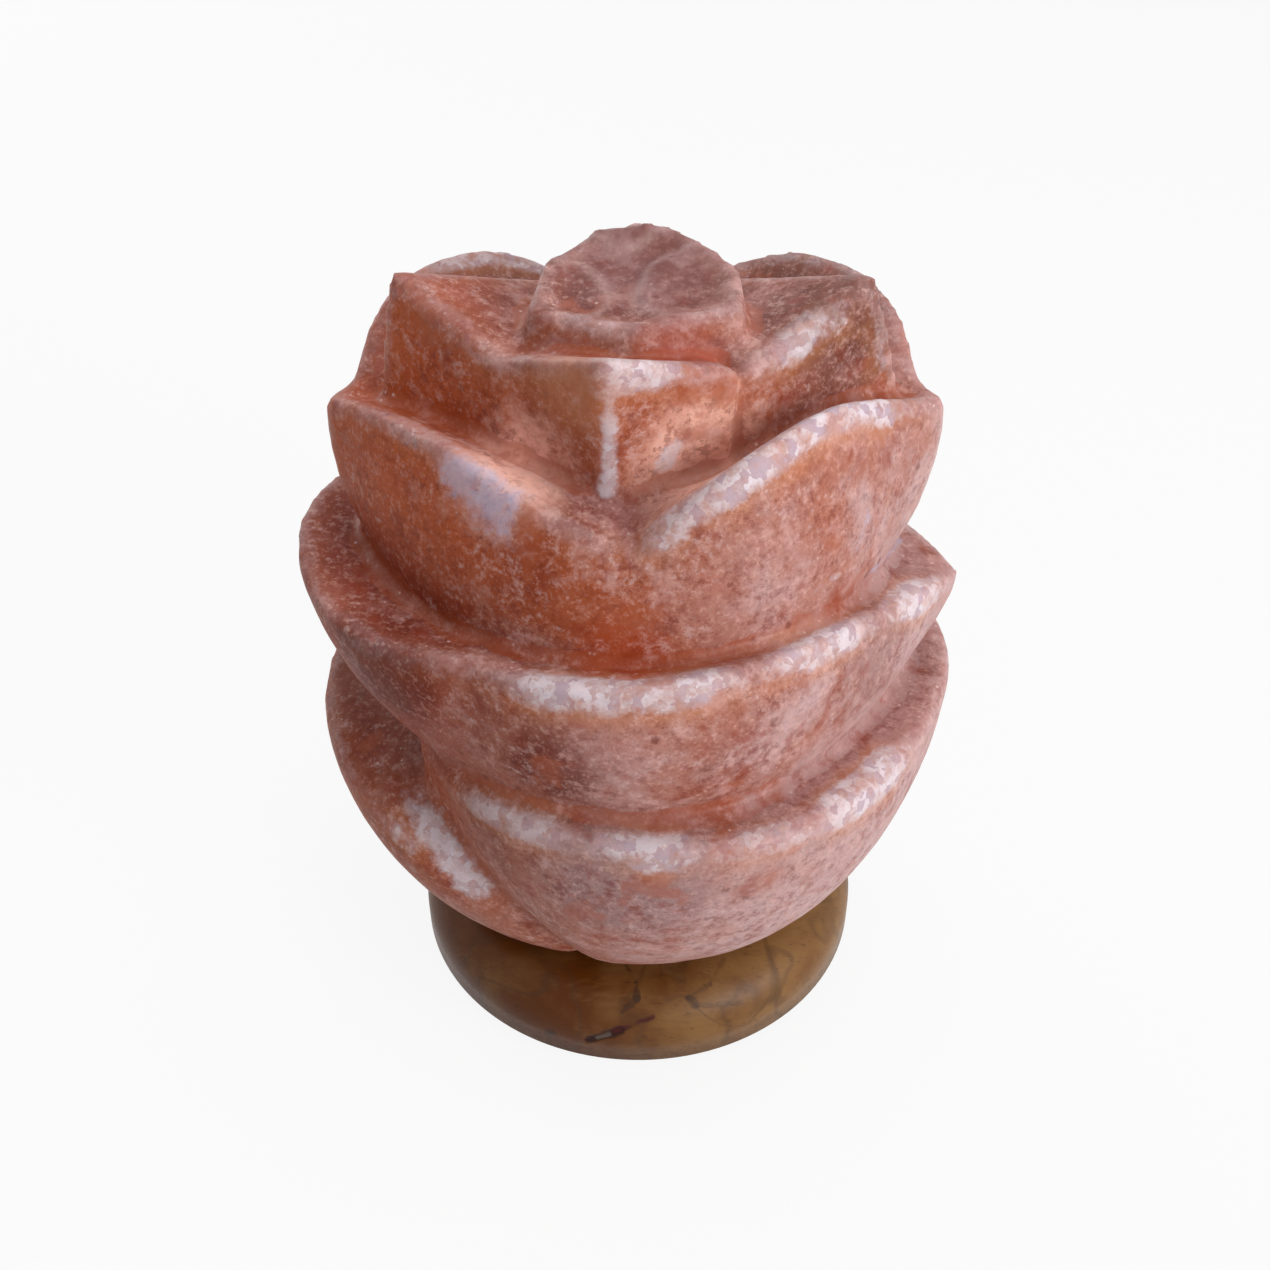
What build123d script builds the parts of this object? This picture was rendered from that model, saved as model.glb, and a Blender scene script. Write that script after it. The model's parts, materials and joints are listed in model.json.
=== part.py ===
"""Salt crystal lamp: a rose carved from rock salt, screwed to a turned wooden base.

A spring-clip lamp holder with a small screw-cap bulb is pushed up into the bore from below.
Millimetres, +Z up. The origin is on the table, under the middle of the lamp, and the front
of the rose looks along -Y.
"""

from build123d import *
from collections import namedtuple
from math import atan2, cos, radians, sin, tan
import os

# ---------------------------------------------------------------- driving dimensions

# wooden base and its feet
base_diameter = 100.0
base_thickness = 17.0
base_edge_round = 11.0
base_bottom_break = 0.8
foot_gap = 3.0
foot_diameter = 11.0
foot_recess = 1.0
foot_circle = 39.0
foot_angles = (45, 135, 225, 315)

# bore through the base and up into the salt
bore_diameter = 40.0
bore_depth = 98.0
bore_top_round = 8.0
cord_channel_width = 8.0
cord_channel_depth = 10.0

# screws that hold the salt to the base
screw_circle = 28.5
screw_angles = (-90, 30, 150)
screw_shank = 3.8
screw_head = 7.6
screw_head_height = 2.4
screw_recess = 4.4
screw_recess_width = 1.0
screw_recess_depth = 1.4
screw_reach = 24.0
screw_counterbore_depth = 6.0
plug_wall = 1.9
plug_length = 26.0

# lamp holder, measured from its flange
holder_wall = 2.0
shell_room = 0.9
flange_lip = 2.5
flange_thickness = 1.8
cap_height = 12.5
shell_height = 26.0
cap_floor_thickness = 1.2
shell_skirt = 2.4
lid_ledge = 0.8
mouth_gap = 1.4
inlet_diameter = 6.0
block_height = 8.0
well_floor_thickness = 1.6
well_gap = 0.6

# screw cap of the bulb and the sleeve that takes it
cap_diameter = 12.8
cap_length = 18.0
cap_wall = 0.35
sleeve_wall = 0.4
sleeve_length = 14.5
sleeve_foot = 0.8
sleeve_ear_width = 5.0
tip_diameter = 5.0
tip_height = 1.2
insulator_height = 3.0
insulator_step = 1.0

# glass of the bulb
bulb_diameter = 24.0
bulb_length = 36.0
glass_wall = 0.6
neck_length = 8.0
stem_radius = 1.9
stem_rise = 9.0
lead_spacing = 2.2
lead_straight = 2.0
wire_radius = 0.3
filament_rise = 20.0
filament_half = 6.0
filament_arch = 3.1
filament_radius = 0.35
support_spacing = 2.4
support_straight = 3.0
support_radius = 0.18

# terminals and the contact tongue
terminal_screw_diameter = 2.5
terminal_head_diameter = 4.4
terminal_head_height = 1.6
terminal_slot = 0.7
plate_width = 4.6
plate_length = 6.5
plate_thickness = 0.8
tongue_width = 3.6
tongue_thickness = 0.4
tongue_root = 4.6
tongue_foot = 2.4
tongue_reach = 2.6
tongue_lip = 1.6

# spring clips
band_height = 6.0
band_thickness = 0.6
band_lift = 2.0
pad_stand_off = 1.3
rivet_diameter = 2.4
rivet_head_diameter = 3.8
rivet_head_height = 0.7
clip_width = 8.0
clip_thickness = 0.5
clip_rise = 20.0
clip_bow_share = 0.72
clip_root_bend = 4.0
clip_bow_bend = 3.0
clip_tip_turn = 1.8

# clearances
running_gap = 0.3
slip_gap = 0.1
thread_gap = 0.45

# ---------------------------------------------------------------- heights that follow

base_top = foot_gap + base_thickness
bore_radius = bore_diameter / 2
cap_radius = cap_diameter / 2
sleeve_inner = cap_radius + thread_gap
sleeve_outer = sleeve_inner + sleeve_wall
flange_radius = bore_radius + flange_lip
terminal_screw_radius = terminal_screw_diameter / 2
terminal_offset = sleeve_outer + terminal_screw_radius + slip_gap
shell_inner = terminal_offset + sleeve_ear_width / 2 + shell_room
holder_radius = shell_inner + holder_wall

flange_bottom = foot_gap + 0.4
flange_top = flange_bottom + flange_thickness
cap_top = flange_bottom + cap_height
shell_top = cap_top + shell_height
block_bottom = cap_top
block_top = block_bottom + block_height
tip_bottom = block_bottom + 4.0
insulator_bottom = tip_bottom + tip_height
metal_bottom = insulator_bottom + insulator_height
glass_bottom = metal_bottom + cap_length


def outward(azimuth):
    """Unit vector away from the axis of the lamp, at an azimuth in degrees."""
    return Vector(cos(radians(azimuth)), sin(radians(azimuth)), 0)


# ---------------------------------------------------------------- carved rose

# A station is one radial cut through a petal. It gives the azimuth, the radius and height of
# the rim there, the radius where the outer wall leaves its root, and how far the cut leans
# off the vertical. Heights count from the seat of the salt on the base.
Station = namedtuple("Station", "azimuth rim height root lean", defaults=(0.0,))

lean_pivot = 29.0
heel_drop = 1.5


def station_plane(station):
    across = outward(station.azimuth)
    along = outward(station.azimuth + 90)
    up = Vector(0, 0, cos(radians(station.lean))) - along * sin(radians(station.lean))
    middle = base_top + lean_pivot
    return Plane(origin=(0, 0, middle), x_dir=across, z_dir=across.cross(up))


def on_station(station, radius, height):
    """A point of the cut in its own coordinates, at a true radius and height."""
    rise = (height - lean_pivot) / cos(radians(station.lean))
    aside = rise * sin(radians(station.lean))
    return Vector((radius**2 - aside**2) ** 0.5, rise)


def petal(stations, root_height, foot, inner, belly=0.1, straight=False):
    """A petal: its outer wall swells from the root up to the rim, and a ledge falls from the
    rim to the foot of the next petal in. foot is the radius and height where it ends."""
    foot_radius, foot_height = foot
    with BuildPart() as carved:
        for cut in stations:
            root = on_station(cut, cut.root, root_height)
            rim = on_station(cut, cut.rim, cut.height)
            end = on_station(cut, foot_radius, foot_height)
            wall = rim - root
            swell = (root + rim) / 2 + Vector(wall.Y, -wall.X) * belly
            heel = on_station(cut, inner, foot_height - heel_drop)
            toe = on_station(cut, inner, root_height)
            with BuildSketch(station_plane(cut)):
                with BuildLine():
                    Line(toe, root)
                    ThreePointArc(root, swell, rim)
                    Polyline(rim, end, heel, toe)
                make_face()
        loft(ruled=straight)
    return carved.part


bore_skin = bore_radius + 4.0
petals = []

# outer whorl: it grows straight from the seat
skirt = dict(root_height=0, inner=bore_skin, belly=0.13)
petals.append(
    petal(
        [
            Station(-110, 42, 10, 36),
            Station(-128, 52, 25, 37),
            Station(-145, 59.5, 35, 38),
            Station(-165, 65.5, 43, 38),
            Station(-185, 67.8, 49, 38),
            Station(-210, 64, 52, 38),
            Station(-240, 52, 46, 38),
        ],
        foot=(41, 52),
        **skirt,
    )
)
petals.append(
    petal(
        [
            Station(-134, 50.5, 52, 37, 34),
            Station(-112, 54.5, 55.5, 36, 17),
            Station(-90, 58.5, 57, 36),
            Station(-58, 61, 57, 36),
            Station(-26, 62, 57, 35),
            Station(2, 66, 57.5, 34),
            Station(30, 61, 54.5, 35),
            Station(48, 49, 49, 36),
        ],
        foot=(46, 57),
        **skirt,
    )
)
petals.append(
    petal(
        [
            Station(24, 50, 45, 36),
            Station(50, 60.5, 51.5, 37),
            Station(82, 61.5, 53.5, 37),
            Station(112, 58.5, 51.5, 37),
            Station(134, 50, 45, 37),
        ],
        foot=(44, 56),
        **skirt,
    )
)

# second whorl: a round lobe on the left, a drawn-out point on the right
waist = dict(root_height=52, inner=bore_skin)
petals.append(
    petal(
        [
            Station(132, 50, 80, 44),
            Station(156, 62.5, 88.5, 46),
            Station(180, 67.5, 88.5, 48),
            Station(200, 64.2, 85, 48),
            Station(222, 56.5, 85.5, 47),
            Station(246, 50.5, 87, 46),
        ],
        foot=(38, 83.5),
        **waist,
    )
)
second_point = Station(-3, 64.8, 79.5, 49)
petals.append(
    petal(
        [
            Station(-134, 50, 85, 47),
            Station(-100, 52.8, 89, 48),
            Station(-68, 51.2, 90, 48),
            Station(-38, 51.5, 88, 47),
            Station(-20, 55.8, 84.5, 48),
            second_point,
        ],
        foot=(37, 84),
        **waist,
    )
)
petals.append(
    petal(
        [second_point, Station(12, 58, 81, 48), Station(36, 49.5, 83, 45)],
        foot=(37, 84),
        **waist,
    )
)
petals.append(
    petal(
        [
            Station(26, 48, 79, 44),
            Station(55, 58, 84, 46),
            Station(85, 60, 86, 46),
            Station(115, 58, 84, 46),
            Station(144, 48, 79, 44),
        ],
        foot=(37, 83),
        **waist,
    )
)

# third whorl: two petals drawn to points at the sides, that meet in a valley at the front
shoulder = dict(root_height=76, inner=14.0, foot=(26, 112))
third_left = Station(180, 58.5, 117, 48)
third_right = Station(0, 57.7, 116.5, 46.5)
petals.append(
    petal(
        [
            third_left,
            Station(200, 45, 120, 45),
            Station(222, 39.5, 119, 42),
            Station(246, 39, 114, 40),
            Station(271, 40.5, 106.5, 39),
        ],
        **shoulder,
    )
)
petals.append(
    petal(
        [
            Station(-93, 40.5, 106.5, 39),
            Station(-75, 39, 118.5, 40),
            Station(-55, 38.5, 125.5, 41),
            Station(-34, 39, 126.3, 43),
            Station(-14, 45, 122.5, 45),
            third_right,
        ],
        **shoulder,
    )
)
petals.append(
    petal(
        [third_right, Station(20, 48, 118, 46), Station(45, 42, 118, 43), Station(70, 38, 112, 40)],
        **shoulder,
    )
)
petals.append(
    petal(
        [
            Station(110, 38, 112, 40),
            Station(138, 42, 118, 43),
            Station(160, 48, 118, 46),
            third_left,
        ],
        **shoulder,
    )
)

# two round lobes that stand up behind the heart
lobe = dict(root_height=98, inner=10.0, foot=(27, 114))
petals.append(
    petal(
        [
            Station(100, 34, 117, 33),
            Station(120, 48.5, 127.5, 37),
            Station(143, 52.5, 130.3, 42),
            Station(164, 54, 124.5, 45),
            Station(182, 52.7, 113, 46),
        ],
        **lobe,
    )
)
petals.append(
    petal(
        [
            Station(-2, 52.4, 113, 45),
            Station(14, 53.2, 124, 44),
            Station(36, 52, 130.3, 42),
            Station(60, 47.5, 127.5, 37),
            Station(82, 34, 117, 33),
        ],
        **lobe,
    )
)

# inner whorl: four pointed petals, each with a ridge down its middle
inner_whorl = dict(root_height=106, inner=6.0, foot=(16, 131), belly=0.03)
inner_left = Station(180, 44, 142, 49)
inner_front = Station(-100, 32, 140.5, 27)
inner_right = Station(0, 42, 141.5, 51)
inner_back = Station(90, 31.5, 139.5, 30)
for ridge, before, after in (
    (inner_left, Station(138, 28, 132, 28), Station(220, 29, 131, 27)),
    (inner_front, Station(-144, 29, 133, 26), Station(-50, 27.5, 133, 25)),
    (inner_right, Station(-46, 26.5, 131.5, 26), Station(44, 28, 132, 28)),
    (inner_back, Station(42, 27, 131, 27), Station(140, 27, 131, 27)),
):
    petals.append(petal([before, ridge], straight=True, **inner_whorl))
    petals.append(petal([ridge, after], straight=True, **inner_whorl))

# heart: a square-cornered cup, high at the back, with a curled leaf inside
heart = dict(root_height=120, inner=1.5, straight=True)
petals.append(
    petal(
        [
            Station(160, 17.5, 142, 20),
            Station(210, 22, 139.5, 26),
            Station(265, 16.5, 138.5, 19.5),
            Station(330, 20.5, 140, 25),
            Station(368, 18, 142, 20),
        ],
        foot=(5, 134),
        belly=0.02,
        **heart,
    )
)
petals.append(
    petal(
        [
            Station(8, 18, 142, 20),
            Station(50, 14.5, 144.8, 16),
            Station(84, 12.5, 147, 15),
            Station(118, 13.5, 144.8, 16),
            Station(160, 17.5, 142, 20),
        ],
        foot=(5, 134),
        belly=0.02,
        **heart,
    )
)
petals.append(
    petal(
        [
            Station(175, 9, 138, 9.5),
            Station(235, 10.5, 139, 11),
            Station(285, 8.5, 137, 9),
        ],
        foot=(3, 136),
        belly=0.02,
        **heart,
    )
)

# the stem is what is left of the block in the middle, under and between the petals
stem_profile = (
    (0, 0),
    (33, 0),
    (41, 30),
    (43, 56),
    (37, 80),
    (34, 100),
    (24, 108),
    (20, 122),
    (12, 130),
    (0, 131),
)
with BuildPart() as salt_rose:
    with BuildSketch(Plane.XZ):
        with BuildLine():
            Polyline([(radius, base_top + height) for radius, height in stem_profile], close=True)
        make_face()
    revolve(axis=Axis.Z)
    add(petals)
    with BuildSketch(Plane.XZ):
        with BuildLine():
            ceiling = base_top + bore_depth
            Polyline(
                (0, base_top),
                (bore_radius, base_top),
                (bore_radius, ceiling - bore_top_round),
            )
            RadiusArc(
                (bore_radius, ceiling - bore_top_round),
                (bore_radius - bore_top_round, ceiling),
                -bore_top_round,
            )
            Polyline((bore_radius - bore_top_round, ceiling), (0, ceiling), (0, base_top))
        make_face()
    revolve(axis=Axis.Z, mode=Mode.SUBTRACT)
    plug_radius = screw_shank / 2 + slip_gap + plug_wall
    with BuildSketch(Plane.XY.offset(base_top)):
        for angle in screw_angles:
            with Locations(outward(angle) * screw_circle):
                Circle(plug_radius + slip_gap)
    extrude(amount=plug_length + running_gap, mode=Mode.SUBTRACT)
salt_rose.part.label = "salt_rose"

# ---------------------------------------------------------------- base

with BuildPart() as wooden_base:
    with BuildSketch(Plane.XY.offset(foot_gap)):
        Circle(base_diameter / 2)
    extrude(amount=base_thickness)
    fillet(wooden_base.edges().sort_by(Axis.Z)[-1], radius=base_edge_round)
    chamfer(wooden_base.edges().sort_by(Axis.Z)[0], length=base_bottom_break)
    with BuildSketch(Plane.XY.offset(foot_gap)):
        Circle(bore_radius)
    extrude(amount=base_thickness, mode=Mode.SUBTRACT)
    with BuildSketch(Plane.XY.offset(foot_gap)):
        Circle(flange_radius + running_gap)
    extrude(amount=flange_top + running_gap - foot_gap, mode=Mode.SUBTRACT)
    with BuildSketch(Plane.XY.offset(foot_gap)):
        with Locations((0, base_diameter / 2)):
            Rectangle(cord_channel_width, base_diameter)
    extrude(amount=cord_channel_depth, mode=Mode.SUBTRACT)
    with BuildSketch(Plane.XY.offset(foot_gap)):
        for angle in foot_angles:
            with Locations(outward(angle) * foot_circle):
                Circle(foot_diameter / 2 + slip_gap)
    extrude(amount=foot_recess, mode=Mode.SUBTRACT)
    with BuildSketch(Plane.XY.offset(foot_gap)):
        for angle in screw_angles:
            with Locations(outward(angle) * screw_circle):
                Circle(screw_head / 2 + running_gap)
    extrude(amount=screw_counterbore_depth, mode=Mode.SUBTRACT)
    with BuildSketch(Plane.XY.offset(foot_gap)):
        for angle in screw_angles:
            with Locations(outward(angle) * screw_circle):
                Circle(screw_shank / 2 + slip_gap)
    extrude(amount=base_thickness, mode=Mode.SUBTRACT)
wooden_base.part.label = "wooden_base"

with BuildPart() as rubber_feet:
    with BuildSketch(Plane.XY):
        for angle in foot_angles:
            with Locations(outward(angle) * foot_circle):
                Circle(foot_diameter / 2)
    extrude(amount=foot_gap + foot_recess)
    chamfer(rubber_feet.edges().group_by(Axis.Z)[0], length=foot_diameter / 12)
rubber_feet.part.label = "rubber_feet"

screw_seat = foot_gap + screw_counterbore_depth
with BuildPart() as base_screws:
    with BuildSketch(Plane.XY.offset(screw_seat - screw_head_height)):
        for angle in screw_angles:
            with Locations(outward(angle) * screw_circle):
                Circle(screw_head / 2)
    extrude(amount=screw_head_height)
    chamfer(base_screws.edges().group_by(Axis.Z)[0], length=screw_head_height / 3)
    with BuildSketch(Plane.XY.offset(screw_seat)):
        for angle in screw_angles:
            with Locations(outward(angle) * screw_circle):
                Circle(screw_shank / 2)
    extrude(amount=base_top - screw_seat + screw_reach)
    with BuildSketch(Plane.XY.offset(screw_seat - screw_head_height)):
        for angle in screw_angles:
            with Locations(outward(angle) * screw_circle):
                Rectangle(screw_recess, screw_recess_width)
                Rectangle(screw_recess_width, screw_recess)
    extrude(amount=screw_recess_depth, mode=Mode.SUBTRACT)
base_screws.part.label = "base_screws"

with BuildPart() as salt_plugs:
    with BuildSketch(Plane.XY.offset(base_top)):
        for angle in screw_angles:
            with Locations(outward(angle) * screw_circle):
                Circle(plug_radius)
                Circle(screw_shank / 2 + slip_gap, mode=Mode.SUBTRACT)
    extrude(amount=plug_length)
salt_plugs.part.label = "salt_plugs"

# ---------------------------------------------------------------- lamp holder

# the cap is screwed on from below: its flange stops the holder at the base, and the cord
# comes in through the hole in its side
cap_floor = flange_top + cap_floor_thickness
skirt_radius = shell_inner + holder_wall / 2
with BuildPart() as holder_cap:
    with BuildSketch(Plane.XY.offset(flange_bottom)):
        Circle(flange_radius)
    extrude(amount=flange_thickness)
    chamfer(holder_cap.edges().group_by(Axis.Z)[0], length=flange_thickness / 3)
    with BuildSketch(Plane.XY.offset(flange_top)):
        Circle(holder_radius)
    extrude(amount=cap_top - flange_top)
    with BuildSketch(Plane.XY.offset(cap_floor)):
        Circle(skirt_radius + slip_gap)
    extrude(amount=cap_top - cap_floor, mode=Mode.SUBTRACT)
    inlet_height = cap_floor + inlet_diameter / 2 + running_gap
    with BuildSketch(Plane.XZ.offset(-holder_radius - 1)):
        with Locations((0, inlet_height)):
            Circle(inlet_diameter / 2)
    extrude(amount=holder_radius, mode=Mode.SUBTRACT)
holder_cap.part.label = "holder_cap"

# the shell is open at the top, where a loose lid with the mouth for the bulb rests on a ledge
mouth_radius = sleeve_outer + mouth_gap
ledge_radius = shell_inner + lid_ledge
ledge_height = shell_top - holder_wall
with BuildPart() as holder_shell:
    with BuildSketch(Plane.XZ):
        with BuildLine():
            Polyline(
                (shell_inner, cap_top - shell_skirt),
                (skirt_radius, cap_top - shell_skirt),
                (skirt_radius, cap_top),
                (holder_radius, cap_top),
                (holder_radius, shell_top),
                (ledge_radius, shell_top),
                (ledge_radius, ledge_height),
                (shell_inner, ledge_height),
                close=True,
            )
        make_face()
    revolve(axis=Axis.Z)
    rim_edges = holder_shell.edges().filter_by(GeomType.CIRCLE).group_by(Axis.Z)[-1]
    chamfer(rim_edges.sort_by(SortBy.RADIUS)[-1], length=holder_wall / 4)
holder_shell.part.label = "holder_shell"

with BuildPart() as shell_lid:
    with BuildSketch(Plane.XY.offset(ledge_height)):
        Circle(ledge_radius - slip_gap)
        Circle(mouth_radius, mode=Mode.SUBTRACT)
    extrude(amount=holder_wall)
    lid_edges = shell_lid.edges().filter_by(GeomType.CIRCLE).group_by(Axis.Z)[-1]
    chamfer(lid_edges.sort_by(SortBy.RADIUS)[0], length=holder_wall / 4)
shell_lid.part.label = "shell_lid"

# the block carries every live part, and has a well in the middle for the contact tongue
well_floor = block_bottom + well_floor_thickness
well_radius = cap_radius - insulator_step + well_gap
with BuildPart() as terminal_block:
    with BuildSketch(Plane.XY.offset(block_bottom)):
        Circle(shell_inner - slip_gap)
    extrude(amount=block_height)
    with BuildSketch(Plane.XY.offset(well_floor)):
        Circle(well_radius)
    extrude(amount=block_height, mode=Mode.SUBTRACT)
    with BuildSketch(Plane.XY.offset(block_bottom)):
        with Locations((terminal_offset, 0), (-terminal_offset, 0)):
            Circle(terminal_screw_radius + slip_gap)
    extrude(amount=block_height, mode=Mode.SUBTRACT)
terminal_block.part.label = "terminal_block"

# the sleeve stands on the block, and its ear reaches the right terminal screw
with BuildPart() as screw_sleeve:
    with BuildSketch(Plane.XY.offset(block_top)):
        Circle(sleeve_outer + sleeve_foot)
        with Locations((terminal_offset / 2, 0)):
            Rectangle(terminal_offset + sleeve_ear_width, sleeve_ear_width)
        Circle(sleeve_inner, mode=Mode.SUBTRACT)
        with Locations((terminal_offset, 0)):
            Circle(terminal_screw_radius + slip_gap, mode=Mode.SUBTRACT)
    extrude(amount=sleeve_wall)
    with BuildSketch(Plane.XY.offset(block_top)):
        Circle(sleeve_outer)
        Circle(sleeve_inner, mode=Mode.SUBTRACT)
    extrude(amount=sleeve_length)
screw_sleeve.part.label = "screw_sleeve"

with BuildPart() as terminal_plates:
    with BuildSketch(Plane.XY.offset(block_bottom - plate_thickness)):
        with Locations((terminal_offset, 0), (-terminal_offset, 0)):
            Rectangle(plate_width, plate_length)
            Circle(terminal_screw_radius + slip_gap, mode=Mode.SUBTRACT)
    extrude(amount=plate_thickness)
terminal_plates.part.label = "terminal_plates"

screw_head_bottom = block_bottom - plate_thickness - terminal_head_height
with BuildPart() as terminal_screws:
    with BuildSketch(Plane.XY.offset(screw_head_bottom)):
        with Locations((terminal_offset, 0), (-terminal_offset, 0)):
            Circle(terminal_head_diameter / 2)
    extrude(amount=terminal_head_height)
    with BuildSketch(Plane.XY.offset(screw_head_bottom)):
        with Locations((terminal_offset, 0), (-terminal_offset, 0)):
            Circle(terminal_screw_radius)
    extrude(amount=block_top - screw_head_bottom - slip_gap)
    with BuildSketch(Plane.XY.offset(screw_head_bottom)):
        with Locations((terminal_offset, 0), (-terminal_offset, 0)):
            Rectangle(terminal_slot, terminal_head_diameter)
    extrude(amount=terminal_head_height / 2, mode=Mode.SUBTRACT)
terminal_screws.part.label = "terminal_screws"

# the tongue is riveted to the floor of the well and its free end springs up at the bulb
tongue_top = tip_bottom - running_gap
with BuildPart() as contact_tongue:
    with BuildSketch(Plane.XZ.offset(-tongue_width / 2)):
        with BuildLine():
            spine = (
                (-tongue_root, well_floor),
                (-tongue_root + tongue_foot, well_floor),
                (tongue_reach - tongue_lip, tongue_top - tongue_thickness),
                (tongue_reach, tongue_top - tongue_thickness),
            )
            Polyline(spine)
            offset(amount=tongue_thickness, side=Side.LEFT)
        make_face()
    extrude(amount=tongue_width)
contact_tongue.part.label = "contact_tongue"

# ---------------------------------------------------------------- spring clips

band_bottom = cap_top + band_lift
rivet_height = band_bottom + band_height / 2
pad_face = holder_radius + pad_stand_off
wing_inner = pad_face + running_gap
wing_outer = wing_inner + clip_thickness
head_inner = wing_outer + running_gap
rivet_radius = rivet_diameter / 2
rivet_head_radius = rivet_head_diameter / 2
with BuildPart() as clip_band:
    with BuildSketch(Plane.XY.offset(band_bottom)):
        Circle(holder_radius + band_thickness)
        Rectangle(2 * pad_face, clip_width)
        Circle(holder_radius, mode=Mode.SUBTRACT)
    extrude(amount=band_height)
    with BuildSketch(Plane.YZ.offset(-pad_face)):
        with Locations((0, rivet_height)):
            Circle(rivet_radius)
    extrude(amount=2 * pad_face, mode=Mode.SUBTRACT)
clip_band.part.label = "clip_band"

with BuildPart() as clip_rivets:
    for side in (1, -1):
        with BuildSketch(Plane.YZ.offset(side * (holder_radius + slip_gap))):
            with Locations((0, rivet_height)):
                Circle(rivet_radius)
        extrude(amount=side * (head_inner - holder_radius - slip_gap))
        with BuildSketch(Plane.YZ.offset(side * head_inner)):
            with Locations((0, rivet_height)):
                Circle(rivet_head_radius)
        extrude(amount=side * rivet_head_height)
clip_rivets.part.label = "clip_rivets"

# a wing stands off its pad, bows out to the wall of the bore and turns in again at its tip
bow_radius = bore_radius - running_gap
bow_rise = clip_rise * clip_bow_share
root_half = rivet_head_radius + running_gap
wing_slope = atan2(bow_radius - wing_outer, bow_rise - root_half)
wing_path = (
    (wing_outer, rivet_height - root_half),
    (wing_outer, rivet_height + root_half + clip_root_bend * tan(wing_slope / 2)),
    (bow_radius, rivet_height + bow_rise),
    (bow_radius - clip_tip_turn, rivet_height + clip_rise),
)
wing_bends = (clip_root_bend, clip_bow_bend)
wings = {}
for name, side, inward in (
    ("clip_wing_right", 1, Side.LEFT),
    ("clip_wing_left", -1, Side.RIGHT),
):
    with BuildPart() as wing:
        with BuildSketch(Plane.XZ.offset(-clip_width / 2)):
            with BuildLine():
                FilletPolyline([(side * x, z) for x, z in wing_path], radius=wing_bends)
                offset(amount=clip_thickness, side=inward)
            make_face()
        extrude(amount=clip_width)
        with BuildSketch(Plane.YZ.offset(side * wing_inner)):
            with Locations((0, rivet_height)):
                Circle(rivet_radius + running_gap)
        extrude(amount=side * clip_thickness, mode=Mode.SUBTRACT)
    wing.part.label = name
    wings[name] = wing.part

# ---------------------------------------------------------------- bulb

bulb_radius = bulb_diameter / 2
neck_radius = cap_radius - cap_wall - slip_gap
with BuildPart() as bulb_cap:
    with BuildSketch(Plane.XZ):
        with BuildLine():
            Polyline(
                (cap_radius - 1.6, metal_bottom),
                (cap_radius - 0.4, metal_bottom),
                (cap_radius, metal_bottom + 1.0),
                (cap_radius, glass_bottom),
                (cap_radius - cap_wall, glass_bottom),
                (cap_radius - cap_wall, metal_bottom + 1.2),
                (cap_radius - 0.6, metal_bottom + cap_wall),
                (cap_radius - 1.6, metal_bottom + cap_wall),
                close=True,
            )
        make_face()
    revolve(axis=Axis.Z)
bulb_cap.part.label = "bulb_cap"

with BuildPart() as bulb_insulator:
    with BuildSketch(Plane.XZ):
        with BuildLine():
            Polyline(
                (0, insulator_bottom),
                (tip_diameter / 2 + 0.3, insulator_bottom),
                (cap_radius - insulator_step, metal_bottom),
                (0, metal_bottom),
                close=True,
            )
        make_face()
    revolve(axis=Axis.Z)
bulb_insulator.part.label = "bulb_insulator"

with BuildPart() as bulb_contact:
    with BuildSketch(Plane.XY.offset(tip_bottom)):
        Circle(tip_diameter / 2)
    extrude(amount=tip_height)
    fillet(bulb_contact.edges().sort_by(Axis.Z)[0], radius=tip_height * 0.8)
bulb_contact.part.label = "bulb_contact"

# the glass is a thin shell whose neck goes down inside the metal cap
neck_bottom = glass_bottom - neck_length
crown_centre = glass_bottom + bulb_length - bulb_radius
with BuildPart() as bulb_glass:
    with BuildSketch(Plane.XZ):
        with BuildLine():
            Line((0, neck_bottom), (neck_radius, neck_bottom))
            Line((neck_radius, neck_bottom), (neck_radius, glass_bottom + 0.5))
            Spline(
                (neck_radius, glass_bottom + 0.5),
                (bulb_radius, crown_centre),
                tangents=[(0, 1), (0, 1)],
            )
            CenterArc((0, crown_centre), bulb_radius, 0, 90)
            Line((0, crown_centre + bulb_radius), (0, neck_bottom))
        make_face()
    revolve(axis=Axis.Z)
    offset(amount=-glass_wall, openings=bulb_glass.faces().sort_by(Axis.Z)[0])
bulb_glass.part.label = "bulb_glass"

# the stem is fused to the neck and carries the wires
stem_top = glass_bottom + stem_rise
stem_waist = neck_bottom + neck_length - 1.0
with BuildPart() as bulb_stem:
    with BuildSketch(Plane.XZ):
        with BuildLine():
            flare = neck_radius - glass_wall - slip_gap
            Line((0, neck_bottom), (flare, neck_bottom))
            Line((flare, neck_bottom), (flare, neck_bottom + 0.8))
            Spline(
                (flare, neck_bottom + 0.8),
                (stem_radius, stem_waist),
                tangents=[(-0.6, 1), (0, 1)],
            )
            Line((stem_radius, stem_waist), (stem_radius, stem_top))
            Line((stem_radius, stem_top), (0, stem_top))
            Line((0, stem_top), (0, neck_bottom))
        make_face()
    revolve(axis=Axis.Z)
bulb_stem.part.label = "bulb_stem"

filament_height = glass_bottom + filament_rise
lead_offset = lead_spacing / 2
with BuildPart() as lead_wires:
    for side in (1, -1):
        with BuildLine() as lead:
            FilletPolyline(
                (side * lead_offset, 0, stem_top),
                (side * lead_offset, 0, stem_top + lead_straight),
                (side * filament_half, 0, filament_height),
                radius=1.5,
            )
        with BuildSketch(Plane(origin=(side * lead_offset, 0, stem_top))):
            Circle(wire_radius)
        sweep(path=lead)
lead_wires.part.label = "lead_wires"

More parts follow.
